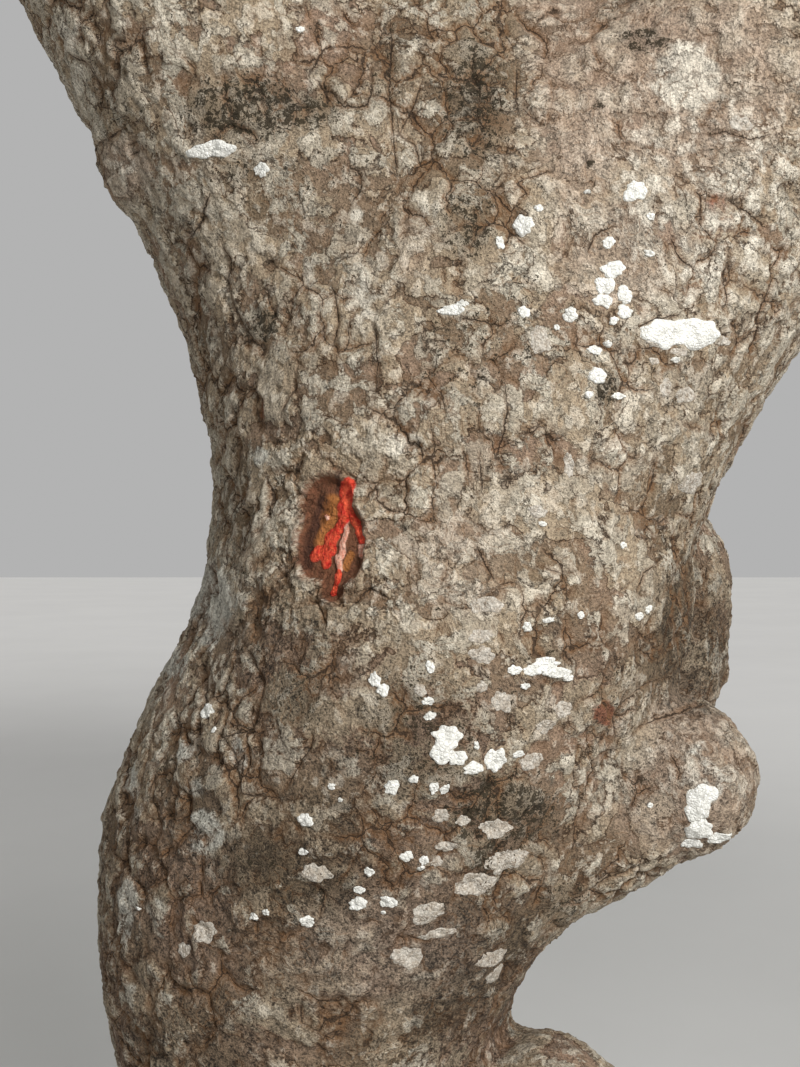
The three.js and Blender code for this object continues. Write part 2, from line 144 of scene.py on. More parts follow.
# The photograph's view: its frame, the lens in pixels, and where the camera stands
VIEW = SimpleNamespace(wide=800, tall=1067, focal=1126.3, place=(0.06, -0.85, 1.2))


# Small sums


def unit(v):
    return v / np.linalg.norm(v, axis=-1, keepdims=True)


def mix(a, b, t):
    return a + (b - a) * t


def smooth(value, low, high):
    t = np.clip((value - low) / (high - low), 0, 1)
    return t * t * (3 - 2 * t)


def seeded(seed):
    """A draw between 0 and 1 that gives the same run for the same seed."""
    state = seed

    def draw():
        nonlocal state
        state = (1664525 * state + 1013904223) % 4294967296
        return state / 4294967296

    return draw


# The trunk's surface as a distance, below zero inside it


def soft_min(a, b, blend):
    share = np.maximum(blend - np.abs(a - b), 0) / blend
    return np.minimum(a, b) - share * share * blend / 4


def cone_distance(p, start, end, r0, r1):
    start, end = np.array(start), np.array(end)
    along = end - start
    t = np.clip((p - start) @ along / (along @ along), 0, 1)
    return np.linalg.norm(p - start - t[..., None] * along, axis=-1) - mix(r0, r1, t)


def stem_at(z):
    """The stem's middle and radius at each height, eased from section to section."""
    heights = STEM[:, 0]
    z = np.clip(z, heights[0], heights[-1])
    i = np.clip(np.searchsorted(heights, z, side="right") - 1, 0, len(STEM) - 2)
    before, after = np.maximum(i - 1, 0), np.minimum(i + 2, len(STEM) - 1)
    span = heights[i + 1] - heights[i]
    t = (z - heights[i]) / span
    eased = []
    for column in (1, 2, 3):
        v = STEM[:, column]
        slope0 = (v[i + 1] - v[before]) / (heights[i + 1] - heights[before]) * span
        slope1 = (v[after] - v[i]) / (heights[after] - heights[i]) * span
        turn = t * t * (3 - 2 * t)
        eased.append(mix(v[i], v[i + 1], turn) + t * (1 - t) ** 2 * slope0 - t * t * (1 - t) * slope1)
    return eased


def limb_end(name):
    start, aim, length, _, _ = FORK[name]
    return np.array(start) + unit(np.array(aim)) * length


def ripples(p):
    x, y, z = p[..., 0], p[..., 1], p[..., 2]
    waves = np.sin(z / RIPPLE.tall + 2 * x / RIPPLE.wide) * np.cos((x - y) / RIPPLE.wide)
    return RIPPLE.depth * (waves + 0.6 * np.sin(1.9 * z / RIPPLE.tall - 1.3 * y / RIPPLE.wide))


def trunk_distance(p):
    x, y, z = p[..., 0], p[..., 1], p[..., 2]
    mid_x, mid_y, radius = stem_at(z)
    round_it = np.arctan2(y - mid_y, x - mid_x)
    lobes = np.cos(FLARE.lobes * round_it + FLARE.turn) + 0.5 * np.cos(3 * round_it + 2)
    flare = FLARE.out * np.exp(-np.maximum(z, 0) / FLARE.fade) * (1 + FLARE.depth * lobes)
    above = np.maximum(z - STEM[-1, 0], 0)
    d = np.sqrt((x - mid_x) ** 2 + (y - mid_y) ** 2 + above**2) - radius - flare
    for name, (start, _, _, r0, r1) in FORK.items():
        d = soft_min(d, cone_distance(p, start, limb_end(name), r0, r1), FORK_BLEND)
    for start, end, r0, r1, blend in KNOBS:
        d = soft_min(d, cone_distance(p, start, end, r0, r1), blend)
    return d - ripples(p)


def slope_of(p, reach=0.001):
    """Which way the trunk's distance grows at each point, and how fast."""
    return np.stack(
        [
            (trunk_distance(p + step) - trunk_distance(p - step)) / (2 * reach)
            for step in np.eye(3) * reach
        ],
        -1,
    )


def settle(p, turns=3):
    """Moves points onto the trunk's surface, and gives them and the way out at each."""
    for _ in range(turns):
        slope = slope_of(p)
        p = p - slope * (trunk_distance(p) / np.maximum((slope**2).sum(-1), 0.05))[:, None]
    return p, unit(slope_of(p))


def pixel_of(p):
    """Where points show in the photograph's frame."""
    away = p - np.array(VIEW.place)
    depth = np.maximum(away[..., 1], 1e-6)
    across = VIEW.wide / 2 + VIEW.focal * away[..., 0] / depth
    down = VIEW.tall / 2 - VIEW.focal * away[..., 2] / depth
    return np.stack([across, down], -1)


def on_trunk(pixels):
    """The points of the trunk's surface that show at pixels of the photograph's frame."""
    pixels = np.atleast_2d(np.array(pixels, float))
    aim = np.stack(
        [
            (pixels[:, 0] - VIEW.wide / 2) / VIEW.focal,
            np.ones(len(pixels)),
            (VIEW.tall / 2 - pixels[:, 1]) / VIEW.focal,
        ],
        -1,
    )
    aim = unit(aim)
    far = np.full(len(pixels), 0.4)
    for _ in range(160):
        d = trunk_distance(np.array(VIEW.place) + aim * far[:, None])
        far = np.minimum(far + 0.7 * d, 1.6)
    return np.array(VIEW.place) + aim * far[:, None]


# The skeleton by the source's rule: masses, boughs, twigs and sprays


@lru_cache(maxsize=None)
def lay_masses():
    draw = seeded(20)
    masses = []
    for tier, count, far, height, first, size in TIERS:
        loose = 1 if count > 1 else 0
        for i in range(count):
            turn = first + 360 * i / count + loose * JITTER.turn * (2 * draw() - 1)
            out = far + loose * JITTER.out * (draw() - 0.5)
            z = height + loose * JITTER.z * (draw() - 0.5)
            angle = math.radians(turn)
            middle = np.array((CROWN.x + out * math.cos(angle), CROWN.y + out * math.sin(angle), z))
            masses.append(
                SimpleNamespace(
                    name=f"{tier}_{i + 1}", middle=middle, size=np.array(size), seed=101 + 37 * len(masses)
                )
            )
    return masses


def in_space(mass, points, share=1.0):
    """Which points lie in a mass's space: its ellipsoid, up to half way to each other mass."""
    points = np.atleast_2d(points)
    inside = points[:, 2] >= CROWN.skirt
    inside &= np.linalg.norm((points - mass.middle) / mass.size, axis=1) <= share
    for other in lay_masses():
        if other is mass:
            continue
        apart = other.middle - mass.middle
        far = np.linalg.norm(apart)
        inside &= (points - mass.middle) @ (apart / far) < far / 2 - CROWN.gap / 2
    return inside


def wandering(start, aim, end, seed):
    """A path that leaves along aim, sways on its way and ends at end."""
    span = np.linalg.norm(end - start)
    first = start + aim * span * BOUGH.spring
    last = end - unit(end - start) * span * BOUGH.arrive
    draw = seeded(seed)
    phases = np.array([draw(), draw(), draw()]) * 2 * math.pi

    def centre_at(t):
        t = np.asarray(t, float)[..., None]
        s = 1 - t
        p = start * s**3 + first * 3 * s * s * t + last * 3 * s * t * t + end * t**3
        sway = BOUGH.wander * span * np.sin(math.pi * t) ** 2
        return p + sway * np.sin(phases + (5.5 + 2 * np.arange(3)) * t) * (1, 1, 0.6)

    return centre_at


def door_of(mass, start):
    """Where a straight run from a point enters a mass's space."""
    shares = np.arange(1, 400) / 400
    points = start + (mass.middle - start) * shares[:, None]
    return points[np.argmax(in_space(mass, points, BOUGH.entry))]


@lru_cache(maxsize=None)
def lay_boughs():
    boughs = {}
    for index, (name, parent, share, mass_name, r0, r1) in enumerate(BOUGHS):
        mass = next(m for m in lay_masses() if m.name == mass_name)
        if parent is None:
            aim = unit(np.array(FORK[name][1]))
            start = limb_end(name) + aim * BOUGH.gap
        else:
            path = boughs[parent].centre_at
            start = path(share)
            tangent = unit(path(share + 0.02) - start)
            aim = unit(unit(mass.middle - start) + 0.5 * tangent)
        door = door_of(mass, start)
        boughs[name] = SimpleNamespace(
            name=name,
            parent=boughs.get(parent),
            share=share,
            mass=mass,
            start=start,
            aim=aim,
            door=door,
            r0=r0,
            r1=r1,
            centre_at=wandering(start, aim, door, 7 + 13 * index),
        )
    return boughs


def bough_radius(bough, t):
    return mix(bough.r0, bough.r1, np.clip(t, 0, 1) ** 0.8)


@lru_cache(maxsize=None)
def limb_beads():
    t = np.arange(25) / 24
    places = np.concatenate([b.centre_at(t) for b in lay_boughs().values()])
    radii = np.concatenate([bough_radius(b, t) for b in lay_boughs().values()])
    return places, radii


def clear_of_limbs(points, margin):
    places, radii = limb_beads()
    apart = np.linalg.norm(np.atleast_2d(points)[:, None] - places, axis=-1)
    return (apart > radii + margin).all(axis=1)


def fits(mass, points, margin):
    points = np.array(points)
    return in_space(mass, points).all() and clear_of_limbs(points, margin).all()


def tip_of(mass, way, reach):
    share = reach
    while share > 0.3:
        p = way * mass.size * share + mass.middle
        if in_space(mass, p)[0]:
            return p
        share -= 0.02
    return None


def grow_twigs(mass):
    """A mass's stem, then its twigs spread round it by the golden turn, as paths of three points."""
    draw = seeded(mass.seed)
    bough = next(b for b in lay_boughs().values() if b.mass is mass)
    arriving = unit(bough.door - bough.centre_at(0.999))
    start = bough.door + arriving * BOUGH.gap
    heart = mass.middle + np.array((0, 0, TWIGS.past * mass.size[2]))
    bend = start + arriving * TWIGS.bend * np.linalg.norm(heart - start)
    outward = mass.middle - np.array((CROWN.x, CROWN.y, CROWN.z))
    outward = outward / (CROWN.spread, CROWN.spread, CROWN.rise)
    twigs = [SimpleNamespace(points=np.array((start, bend, heart)), sprays=TWIGS.stem_sprays, leave=0)]
    for i in range(TWIGS.count):
        height = 1 - 2 * (i + 0.5) / TWIGS.count
        turn = i * GOLDEN_TURN + 0.5 * draw()
        level = math.sqrt(1 - height * height)
        way = np.array((level * math.cos(turn), level * math.sin(turn), height))
        reach = mix(TWIGS.near, TWIGS.far, draw())
        leave = 0.25 + 0.7 * draw()
        if way @ outward < TWIGS.shy:
            continue
        root = mix(start, bend, 2 * leave) if leave < 0.5 else mix(bend, heart, 2 * leave - 1)
        tip = tip_of(mass, way, reach)
        if tip is None or np.linalg.norm(tip - root) < CLEAR.shortest:
            continue
        elbow = (root + tip) / 2 + np.array((0, 0, TWIGS.rise * np.linalg.norm(tip - root)))
        checks = [mix(root, elbow, t) for t in (0.5, 0.75, 1)] + [mix(elbow, tip, t) for t in (0.33, 0.66, 1)]
        if fits(mass, checks, CLEAR.twig):
            points = np.array((root, elbow, tip))
            twigs.append(SimpleNamespace(points=points, sprays=TWIGS.sprays, leave=leave))
    return twigs


def grow_sprays(mass, twigs):
    """The sprays of a mass: the first on a twig carries on past its tip, the others leave it by turns."""
    draw = seeded(mass.seed + 5)
    sprays = []
    for twig in twigs:
        tip, before = twig.points[-1], twig.points[-2]
        aim = unit(tip - before)
        for k in range(twig.sprays):
            turn = draw() * 0.8 + k * GOLDEN_TURN
            roll = SPRAY.roll * (draw() - 0.5)
            flank = unit(np.cross((math.cos(turn), math.sin(turn), 0), aim))
            way = aim + flank * (0.15 if k == 0 else 1.1)
            way[2] -= SPRAY.droop
            way = unit(way)
            root = mix(tip, before, k * SPRAY.spacing)
            if k == 0:
                root = root + aim * (SPRAY.root - SPRAY.end)
            level = unit(np.cross((0, 0, 1), way))
            side = level * math.cos(roll) + np.cross(way, level) * math.sin(roll)
            half = side * SPRAY.width / 2
            middle = root + way * SPRAY.length / 2
            if fits(mass, (middle + half, middle - half, root + way * SPRAY.length, middle), CLEAR.leaf):
                sprays.append(SimpleNamespace(root=root, way=way, side=side))
    return sprays


# Meshes


def mesh_object(name, points, faces, materials, shades=None, fields=None):
    """A smooth mesh of four-sided faces, with a value for each point under each field's name."""
    mesh = bpy.data.meshes.new(name)
    points, faces = np.asarray(points, np.float32), np.asarray(faces, np.int32)
    mesh.vertices.add(len(points))
    mesh.vertices.foreach_set("co", points.ravel())
    mesh.loops.add(faces.size)
    mesh.loops.foreach_set("vertex_index", faces.ravel())
    mesh.polygons.add(len(faces))
    mesh.polygons.foreach_set("loop_start", np.arange(len(faces), dtype=np.int32) * 4)
    mesh.polygons.foreach_set("use_smooth", np.ones(len(faces), bool))
    for material in materials:
        mesh.materials.append(material)
    if shades is not None:
        mesh.polygons.foreach_set("material_index", np.asarray(shades, np.int32))
    mesh.update(calc_edges=True)
    for key, values in (fields or {}).items():
        values = np.asarray(values, np.float32)
        kind, slot = ("FLOAT_VECTOR", "vector") if values.ndim == 2 else ("FLOAT", "value")
        mesh.attributes.new(key, kind, "POINT").data.foreach_set(slot, values.ravel())
    mesh.validate()
    piece = bpy.data.objects.new(name, mesh)
    bpy.context.scene.collection.objects.link(piece)
    return piece


def dress(piece, slot, *nodes):
    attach(piece, "root")
    if nodes:
        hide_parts(*nodes)
    return piece


def skin_of(field, low, high, step):
    """The surface where a field is zero: one point in each cell it passes, four-sided faces between them."""
    axes = [np.arange(low[k], high[k] + step, step) for k in range(3)]
    grid = np.stack(np.meshgrid(*axes, indexing="ij"), -1)
    values = field(grid.reshape(-1, 3)).reshape(grid.shape[:3])
    cells = tuple(n - 1 for n in values.shape)
    total, count = np.zeros(cells + (3,)), np.zeros(cells)
    crossings = []
    for axis in range(3):
        near = tuple(slice(0, -1) if k == axis else slice(None) for k in range(3))
        far = tuple(slice(1, None) if k == axis else slice(None) for k in range(3))
        a, b = values[near], values[far]
        crossed = (a < 0) != (b < 0)
        share = np.where(crossed, a / np.where(crossed, a - b, 1), 0)
        spot = grid[near] + share[..., None] * (grid[far] - grid[near])
        crossings.append((crossed, a < 0))
        first, second = [k for k in range(3) if k != axis]
        for i in (0, 1):
            for j in (0, 1):
                part = [slice(None)] * 3
                part[first] = slice(i, cells[first] + i)
                part[second] = slice(j, cells[second] + j)
                part = tuple(part)
                total += np.where(crossed[part][..., None], spot[part], 0)
                count += crossed[part]
    used = count > 0
    number = np.full(cells, -1)
    number[used] = np.arange(used.sum())
    points = total[used] / count[used][:, None]
    faces = []
    for axis, (crossed, inside) in enumerate(crossings):
        first, second = (axis + 1) % 3, (axis + 2) % 3
        where = np.argwhere(crossed)
        ok = (where[:, first] > 0) & (where[:, second] > 0)
        ok &= (where[:, first] < cells[first]) & (where[:, second] < cells[second])
        where = where[ok]
        corners = []
        for i, j in ((-1, -1), (0, -1), (0, 0), (-1, 0)):
            cell = where.copy()
            cell[:, first] += i
            cell[:, second] += j
            corners.append(number[tuple(cell.T)])
        quads = np.stack(corners, -1)
        outward = inside[tuple(where.T)]
        quads[~outward] = quads[~outward][:, ::-1]
        faces.append(quads)
    return points, np.concatenate(faces)


def split_faces(points, faces):
    """Each face in four, with new points on its sides and in its middle."""
    count = len(points)
    sides = np.sort(np.stack([faces, np.roll(faces, -1, 1)], -1).reshape(-1, 2), axis=1)
    keys, index = np.unique(sides[:, 0] * count + sides[:, 1], return_inverse=True)
    halves = (points[keys // count] + points[keys % count]) / 2
    middles = points[faces].mean(1)
    m = index.reshape(-1, 4) + count
    c = np.arange(len(faces)) + count + len(keys)
    f = faces
    quarters = [
        np.stack([f[:, 0], m[:, 0], c, m[:, 3]], -1),
        np.stack([m[:, 0], f[:, 1], m[:, 1], c], -1),
        np.stack([c, m[:, 1], f[:, 2], m[:, 2]], -1),
        np.stack([m[:, 3], c, m[:, 2], f[:, 3]], -1),
    ]
    return np.concatenate([points, halves, middles]), np.concatenate(quarters)


def tubes(paths, radii, sides):
    """Round tubes along paths with the same number of points each, as points and faces."""
    paths, radii = np.asarray(paths, float), np.asarray(radii, float)
    count, rings = radii.shape
    ahead = unit(np.gradient(paths, axis=1))
    least = np.argmin(np.abs(ahead[:, 0]), axis=1)
    across = unit(np.cross(ahead[:, 0], np.eye(3)[least]))
    angles = np.arange(sides) / sides * 2 * math.pi
    points = np.empty((count, rings, sides, 3))
    outward = np.empty_like(points)
    for k in range(rings):
        across = unit(across - ahead[:, k] * (across * ahead[:, k]).sum(-1, keepdims=True))
        up = np.cross(ahead[:, k], across)
        ways = across[:, None] * np.cos(angles)[:, None] + up[:, None] * np.sin(angles)[:, None]
        outward[:, k] = ways
        points[:, k] = paths[:, k, None] + ways * radii[:, k, None, None]
    ring = np.arange(sides)
    after = (ring + 1) % sides
    strip = np.stack([ring, after, after + sides, ring + sides], -1)
    faces = strip[None, None] + (np.arange(rings - 1) * sides)[None, :, None, None]
    faces = faces + (np.arange(count) * rings * sides)[:, None, None, None]
    return points.reshape(-1, 3), faces.reshape(-1, 4), outward.reshape(-1, 3)


# Nodes


class Wires:
    """Adds nodes to a tree and joins them up. A plain value sets a socket, and an output is linked to it."""

    def __init__(self, tree):
        self.tree = tree

    def add(self, kind, inputs=None, **settings):
        node = self.tree.nodes.new(kind)
        for key, value in settings.items():
            setattr(node, key, value)
        for key, value in (inputs or {}).items():
            self.put(node.inputs[key], value)
        return node

    def put(self, socket, value):
        if isinstance(value, bpy.types.NodeSocket):
            self.tree.links.new(value, socket)
        else:
            socket.default_value = value

    def sum(self, operation, a, b=0.0, c=0.0, clamp=False):
        node = self.add("ShaderNodeMath", {0: a, 1: b, 2: c}, operation=operation, use_clamp=clamp)
        return node.outputs[0]

    def times(self, *values):
        made = values[0]
        for value in values[1:]:
            made = self.sum("MULTIPLY", made, value)
        return made

    def plus(self, *values):
        made = values[0]
        for value in values[1:]:
            made = self.sum("ADD", made, value)
        return made

    def turned(self, value):
        return self.sum("SUBTRACT", 1.0, value, clamp=True)

    def vector(self, operation, a, b=(0, 0, 0), scale=None):
        node = self.add("ShaderNodeVectorMath", {0: a, 1: b}, operation=operation)
        if scale is not None:
            self.put(node.inputs["Scale"], scale)
        return node.outputs["Value"] if operation in ("LENGTH", "DOT_PRODUCT") else node.outputs["Vector"]

    def ease(self, value, low, high, to_low=0.0, to_high=1.0):
        inputs = {"Value": value, "From Min": low, "From Max": high, "To Min": to_low, "To Max": to_high}
        return self.add("ShaderNodeMapRange", inputs, interpolation_type="SMOOTHSTEP").outputs["Result"]

    def noise(self, place, scale, detail=2.0, roughness=0.5, distortion=0.0):
        inputs = {
            "Vector": place,
            "Scale": scale,
            "Detail": detail,
            "Roughness": roughness,
            "Distortion": distortion,
        }
        return self.add("ShaderNodeTexNoise", inputs)

    def cloud(self, place, scale, detail=2.0, roughness=0.5, distortion=0.0):
        return self.noise(place, scale, detail, roughness, distortion).outputs[0]

    def cells(self, place, scale, feature="F1"):
        return self.add("ShaderNodeTexVoronoi", {"Vector": place, "Scale": scale}, feature=feature)

    def blend(self, share, a, b, kind="MIX"):
        node = self.add("ShaderNodeMix", {0: share, 6: a, 7: b}, data_type="RGBA", blend_type=kind)
        return node.outputs[2]

    def field(self, name):
        return self.add("ShaderNodeAttribute", attribute_name=name)


def rgba(colour):
    return (colour[0], colour[1], colour[2], 1.0)


def bark_fields(w, place):
    """The bark's broad patterns at a place: plates, layers that flake off, and its tones."""
    s = bpy.context.scene.marula_bark
    loose = w.vector("SUBTRACT", w.noise(place, 24, 3, 0.6).outputs["Color"], (0.5, 0.5, 0.5))
    frayed = w.vector("SUBTRACT", w.noise(place, 130, 3, 0.65).outputs["Color"], (0.5, 0.5, 0.5))
    warped = w.vector("ADD", place, w.vector("SCALE", loose, scale=0.034))
    warped = w.vector("ADD", warped, w.vector("SCALE", frayed, scale=0.007))
    warped = w.vector("MULTIPLY", warped, (1, 1, 0.8))
    plate = w.cells(warped, 1 / s.plate_size)
    tint = w.add("ShaderNodeSeparateXYZ", {0: plate.outputs["Color"]})
    return SimpleNamespace(
        warped=warped,
        edge=w.cells(warped, 1 / s.plate_size, "DISTANCE_TO_EDGE").outputs["Distance"],
        plate=tint.outputs[0],
        shade=tint.outputs[1],
        thick=w.cloud(place, 0.75 / s.plate_size, 5, 0.6, 0.4),
        thin=w.cloud(place, 1.5 / s.plate_size, 5, 0.62, 0.3),
        scales=w.cloud(place, 1 / s.flake_size, 4, 0.62),
        broad=w.cloud(place, 7, 3, 0.55),
        broken=w.cloud(place, 19, 2, 0.6),
        mottle=w.cloud(place, 75, 4, 0.65),
        wild=w.cloud(place, 9, 2, 0.5),
        swell=w.cloud(place, 15, 2, 0.5),
        lump=w.cloud(place, 60, 3, 0.6),
        grit=w.cloud(place, 230, 4, 0.7),
    )


def bark_height(w, f, seam, split):
    """How far the bark stands out, in metres."""
    s = bpy.context.scene.marula_bark
    from_line, near_line, power = seam
    swell = w.times(w.sum("SUBTRACT", f.swell, 0.5), s.swell_depth * 2.0)
    lumps = w.times(w.sum("SUBTRACT", f.lump, 0.5), s.swell_depth * 0.9)
    cracked = w.ease(w.plus(f.broken, w.times(split, 0.1)), 0.46, 0.62)
    groove = w.times(w.turned(w.ease(f.edge, 0.0, 0.14)), cracked, -s.crack_depth)
    steps = w.times(w.sum("SUBTRACT", f.plate, 0.5), cracked, s.crack_depth * 0.8)
    thick = w.times(w.ease(f.thick, 0.47, 0.53), s.flake_depth * 1.5)
    thin = w.times(w.ease(f.thin, 0.5, 0.55), s.flake_depth)
    scales = w.times(w.ease(f.scales, 0.46, 0.56), s.flake_depth * 0.8)
    gritty = w.times(w.sum("SUBTRACT", f.grit, 0.5), s.flake_depth * 2.2)
    line = w.times(w.turned(w.ease(near_line, 0.4, 4.0)), power, -s.crack_depth * 0.7)
    side = w.ease(from_line, -1.5, 1.5, -0.5, 0.5)
    lifted = w.times(side, w.turned(w.ease(near_line, 0.0, 16.0)), power, s.flake_depth * 1.3)
    return w.plus(swell, lumps, groove, steps, thick, thin, scales, gritty, line, lifted)


# Long cracks in the bark, as lines through pixels of the photograph
CRACKS = [
    [(310, 75), (318, 58), (325, 48), (350, 44), (372, 47)],
    [(310, 75), (330, 92), (345, 107), (367, 108), (372, 90), (372, 65)],
    [(67, 50), (90, 65), (100, 90), (102, 115)],
    [(98, 146), (120, 132), (128, 122)],
    [(108, 138), (101, 156), (104, 178), (118, 196), (138, 196)],
    [(128, 146), (136, 142), (140, 150), (132, 156)],
    [(187, 240), (200, 227), (206, 205), (212, 190)],
    [(220, 240), (232, 260), (229, 280), (237, 310), (245, 330), (260, 345)],
    [(345, 165), (360, 172), (362, 188), (350, 205)],
    [(330, 280), (337, 300), (340, 325), (332, 350)],
    [(250, 388), (265, 400), (260, 425)],
    [(300, 360), (295, 390), (282, 415)],
    [(150, 250), (170, 280), (185, 320), (200, 350)],
    [(375, 320), (378, 360), (375, 400)],
    [(424, 75), (415, 105), (405, 122), (400, 136), (415, 145), (420, 165), (435, 172)],
    [(475, 45), (472, 70), (480, 90), (477, 120), (487, 130)],
    [(517, 65), (516, 100), (520, 120)],
    [(535, 25), (550, 10), (565, 12)],
    [(388, 0), (392, 40), (389, 90), (394, 140), (398, 190)],
    [(700, 135), (725, 132), (750, 140), (770, 135)],
    [(587, 255), (595, 235), (615, 225)],
    [(635, 330), (650, 320), (680, 315)],
    [(505, 380), (507, 410), (502, 440), (495, 465)],
    [(480, 450), (482, 495)],
    [(430, 420), (435, 450), (427, 470)],
    [(455, 320), (475, 320), (500, 325), (515, 320)],
    [(670, 235), (680, 260), (700, 272)],
    [(725, 197), (750, 215), (770, 230)],
    [(177, 783), (190, 795), (193, 812), (178, 822), (163, 805)],
    [(175, 753), (178, 768), (172, 783)],
    [(222, 728), (232, 748), (237, 768), (245, 793), (270, 798)],
    [(240, 633), (255, 658), (265, 683), (260, 708), (250, 730), (225, 738), (210, 723)],
    [(210, 723), (205, 703), (203, 678), (200, 653)],
    [(315, 728), (310, 748), (295, 773), (280, 798)],
    [(310, 878), (325, 893), (320, 918)],
    [(300, 1003), (302, 1023), (320, 1033)],
    [(350, 608), (370, 588), (390, 598)],
    [(635, 597), (642, 573), (657, 563)],
    [(615, 743), (614, 723), (620, 703), (640, 688), (665, 678)],
    [(540, 548), (560, 563), (565, 578), (550, 593)],
    [(475, 543), (485, 563), (495, 583)],
    [(582, 773), (600, 753), (620, 748)],
    [(572, 853), (575, 823), (582, 793)],
    [(515, 973), (507, 963), (502, 983)],
    [(670, 753), (680, 773), (677, 783)],
    [(620, 740), (650, 722), (690, 706), (728, 696)],
    [(560, 905), (600, 880), (650, 862)],
    [(250, 470), (246, 510), (252, 545)],
    [(232, 400), (240, 440), (236, 480)],
]


# The red cut in the bark: strokes in its own plane, as start, end and half width in pixels of the
# photograph, to the right of and above the cut's middle
CUT_MIDDLE = (333, 532)
CUT_PIXEL = 0.00061
CUT = {
    "hollow": [
        ((-10, 30), (-12, -20), 29),
        ((8, 4), (10, -28), 25),
        ((3, -35), (3, -57), 13),
    ],
    "band": [((-19, 32), (-27, -4), 8), ((-27, -4), (-29, -30), 9), ((0, 44), (3, 60), 3.5)],
    "wood": [((-7, 28), (-9, 8), 12), ((-12, 4), (-17, -10), 9), ((18, -22), (16, -34), 5)],
    "red": [
        ((12, 45), (9, 27), 10),
        ((9, 27), (8, 14), 8),
        ((7, 12), (-3, -3), 5.5),
        ((-3, -3), (-6, -17), 8),
        ((-6, -17), (-20, -22), 7.5),
        ((-8, -22), (-8, -32), 5),
        ((14, 20), (24, 8), 5),
        ((24, 8), (30, -8), 4.5),
        ((7, -40), (5, -50), 3.8),
        ((5, -50), (2, -59), 3.5),
    ],
    "fibre": [
        ((11, 10), (11, -7), 4.2),
        ((11, -7), (8, -24), 4),
        ((5, -24), (8, -36), 4.5),
        ((29, -12), (30, -22), 4.5),
        ((-13, 19), (-10, 15), 1.8),
    ],
}


def stroke_distance(w, place, start, along, width):
    """How far a flat place is from a stroke, in half widths of it."""
    away = w.vector("SUBTRACT", place, start)
    square = w.vector("DOT_PRODUCT", along, along)
    share = w.sum("DIVIDE", w.vector("DOT_PRODUCT", away, along), square, clamp=True)
    left = w.vector("SUBTRACT", away, w.vector("SCALE", along, scale=share))
    return w.sum("DIVIDE", w.vector("LENGTH", left), width)


def cut_frame():
    """The cut's middle on the trunk, and the ways right and up in its plane."""
    middle = on_trunk([CUT_MIDDLE])
    out = unit(slope_of(middle))[0]
    right = unit(np.cross((0, 0, 1), out))
    return middle[0], right, np.cross(out, right)


def cut_fields(w, place, frays):
    """How near a place is to each kind of stroke of the cut: under 1 inside it."""
    middle, right, up = cut_frame()
    away = w.vector("SUBTRACT", place, tuple(middle))
    flat = w.add(
        "ShaderNodeCombineXYZ",
        {
            0: w.times(w.vector("DOT_PRODUCT", away, tuple(right)), 1 / CUT_PIXEL),
            1: w.times(w.vector("DOT_PRODUCT", away, tuple(up)), 1 / CUT_PIXEL),
        },
    ).outputs[0]
    frayed = w.vector("SUBTRACT", w.noise(place, 210, 2, 0.5).outputs["Color"], (0.5, 0.5, 0.5))
    loose = w.vector("SUBTRACT", w.noise(place, 110, 2, 0.5).outputs["Color"], (0.5, 0.5, 0.5))
    for shift, reach in ((frayed, frays), (loose, 8.0)):
        level = w.vector("MULTIPLY", shift, (reach, reach, 0))
        flat = w.vector("ADD", flat, level)
    near = {}
    for key, strokes in CUT.items():
        nearest = None
        for start, end, width in strokes:
            along = (end[0] - start[0], end[1] - start[1], 0)
            distance = stroke_distance(w, flat, (start[0], start[1], 0), along, width)
            nearest = distance if nearest is None else w.sum("MINIMUM", nearest, distance)
        near[key] = nearest
    return SimpleNamespace(**near)


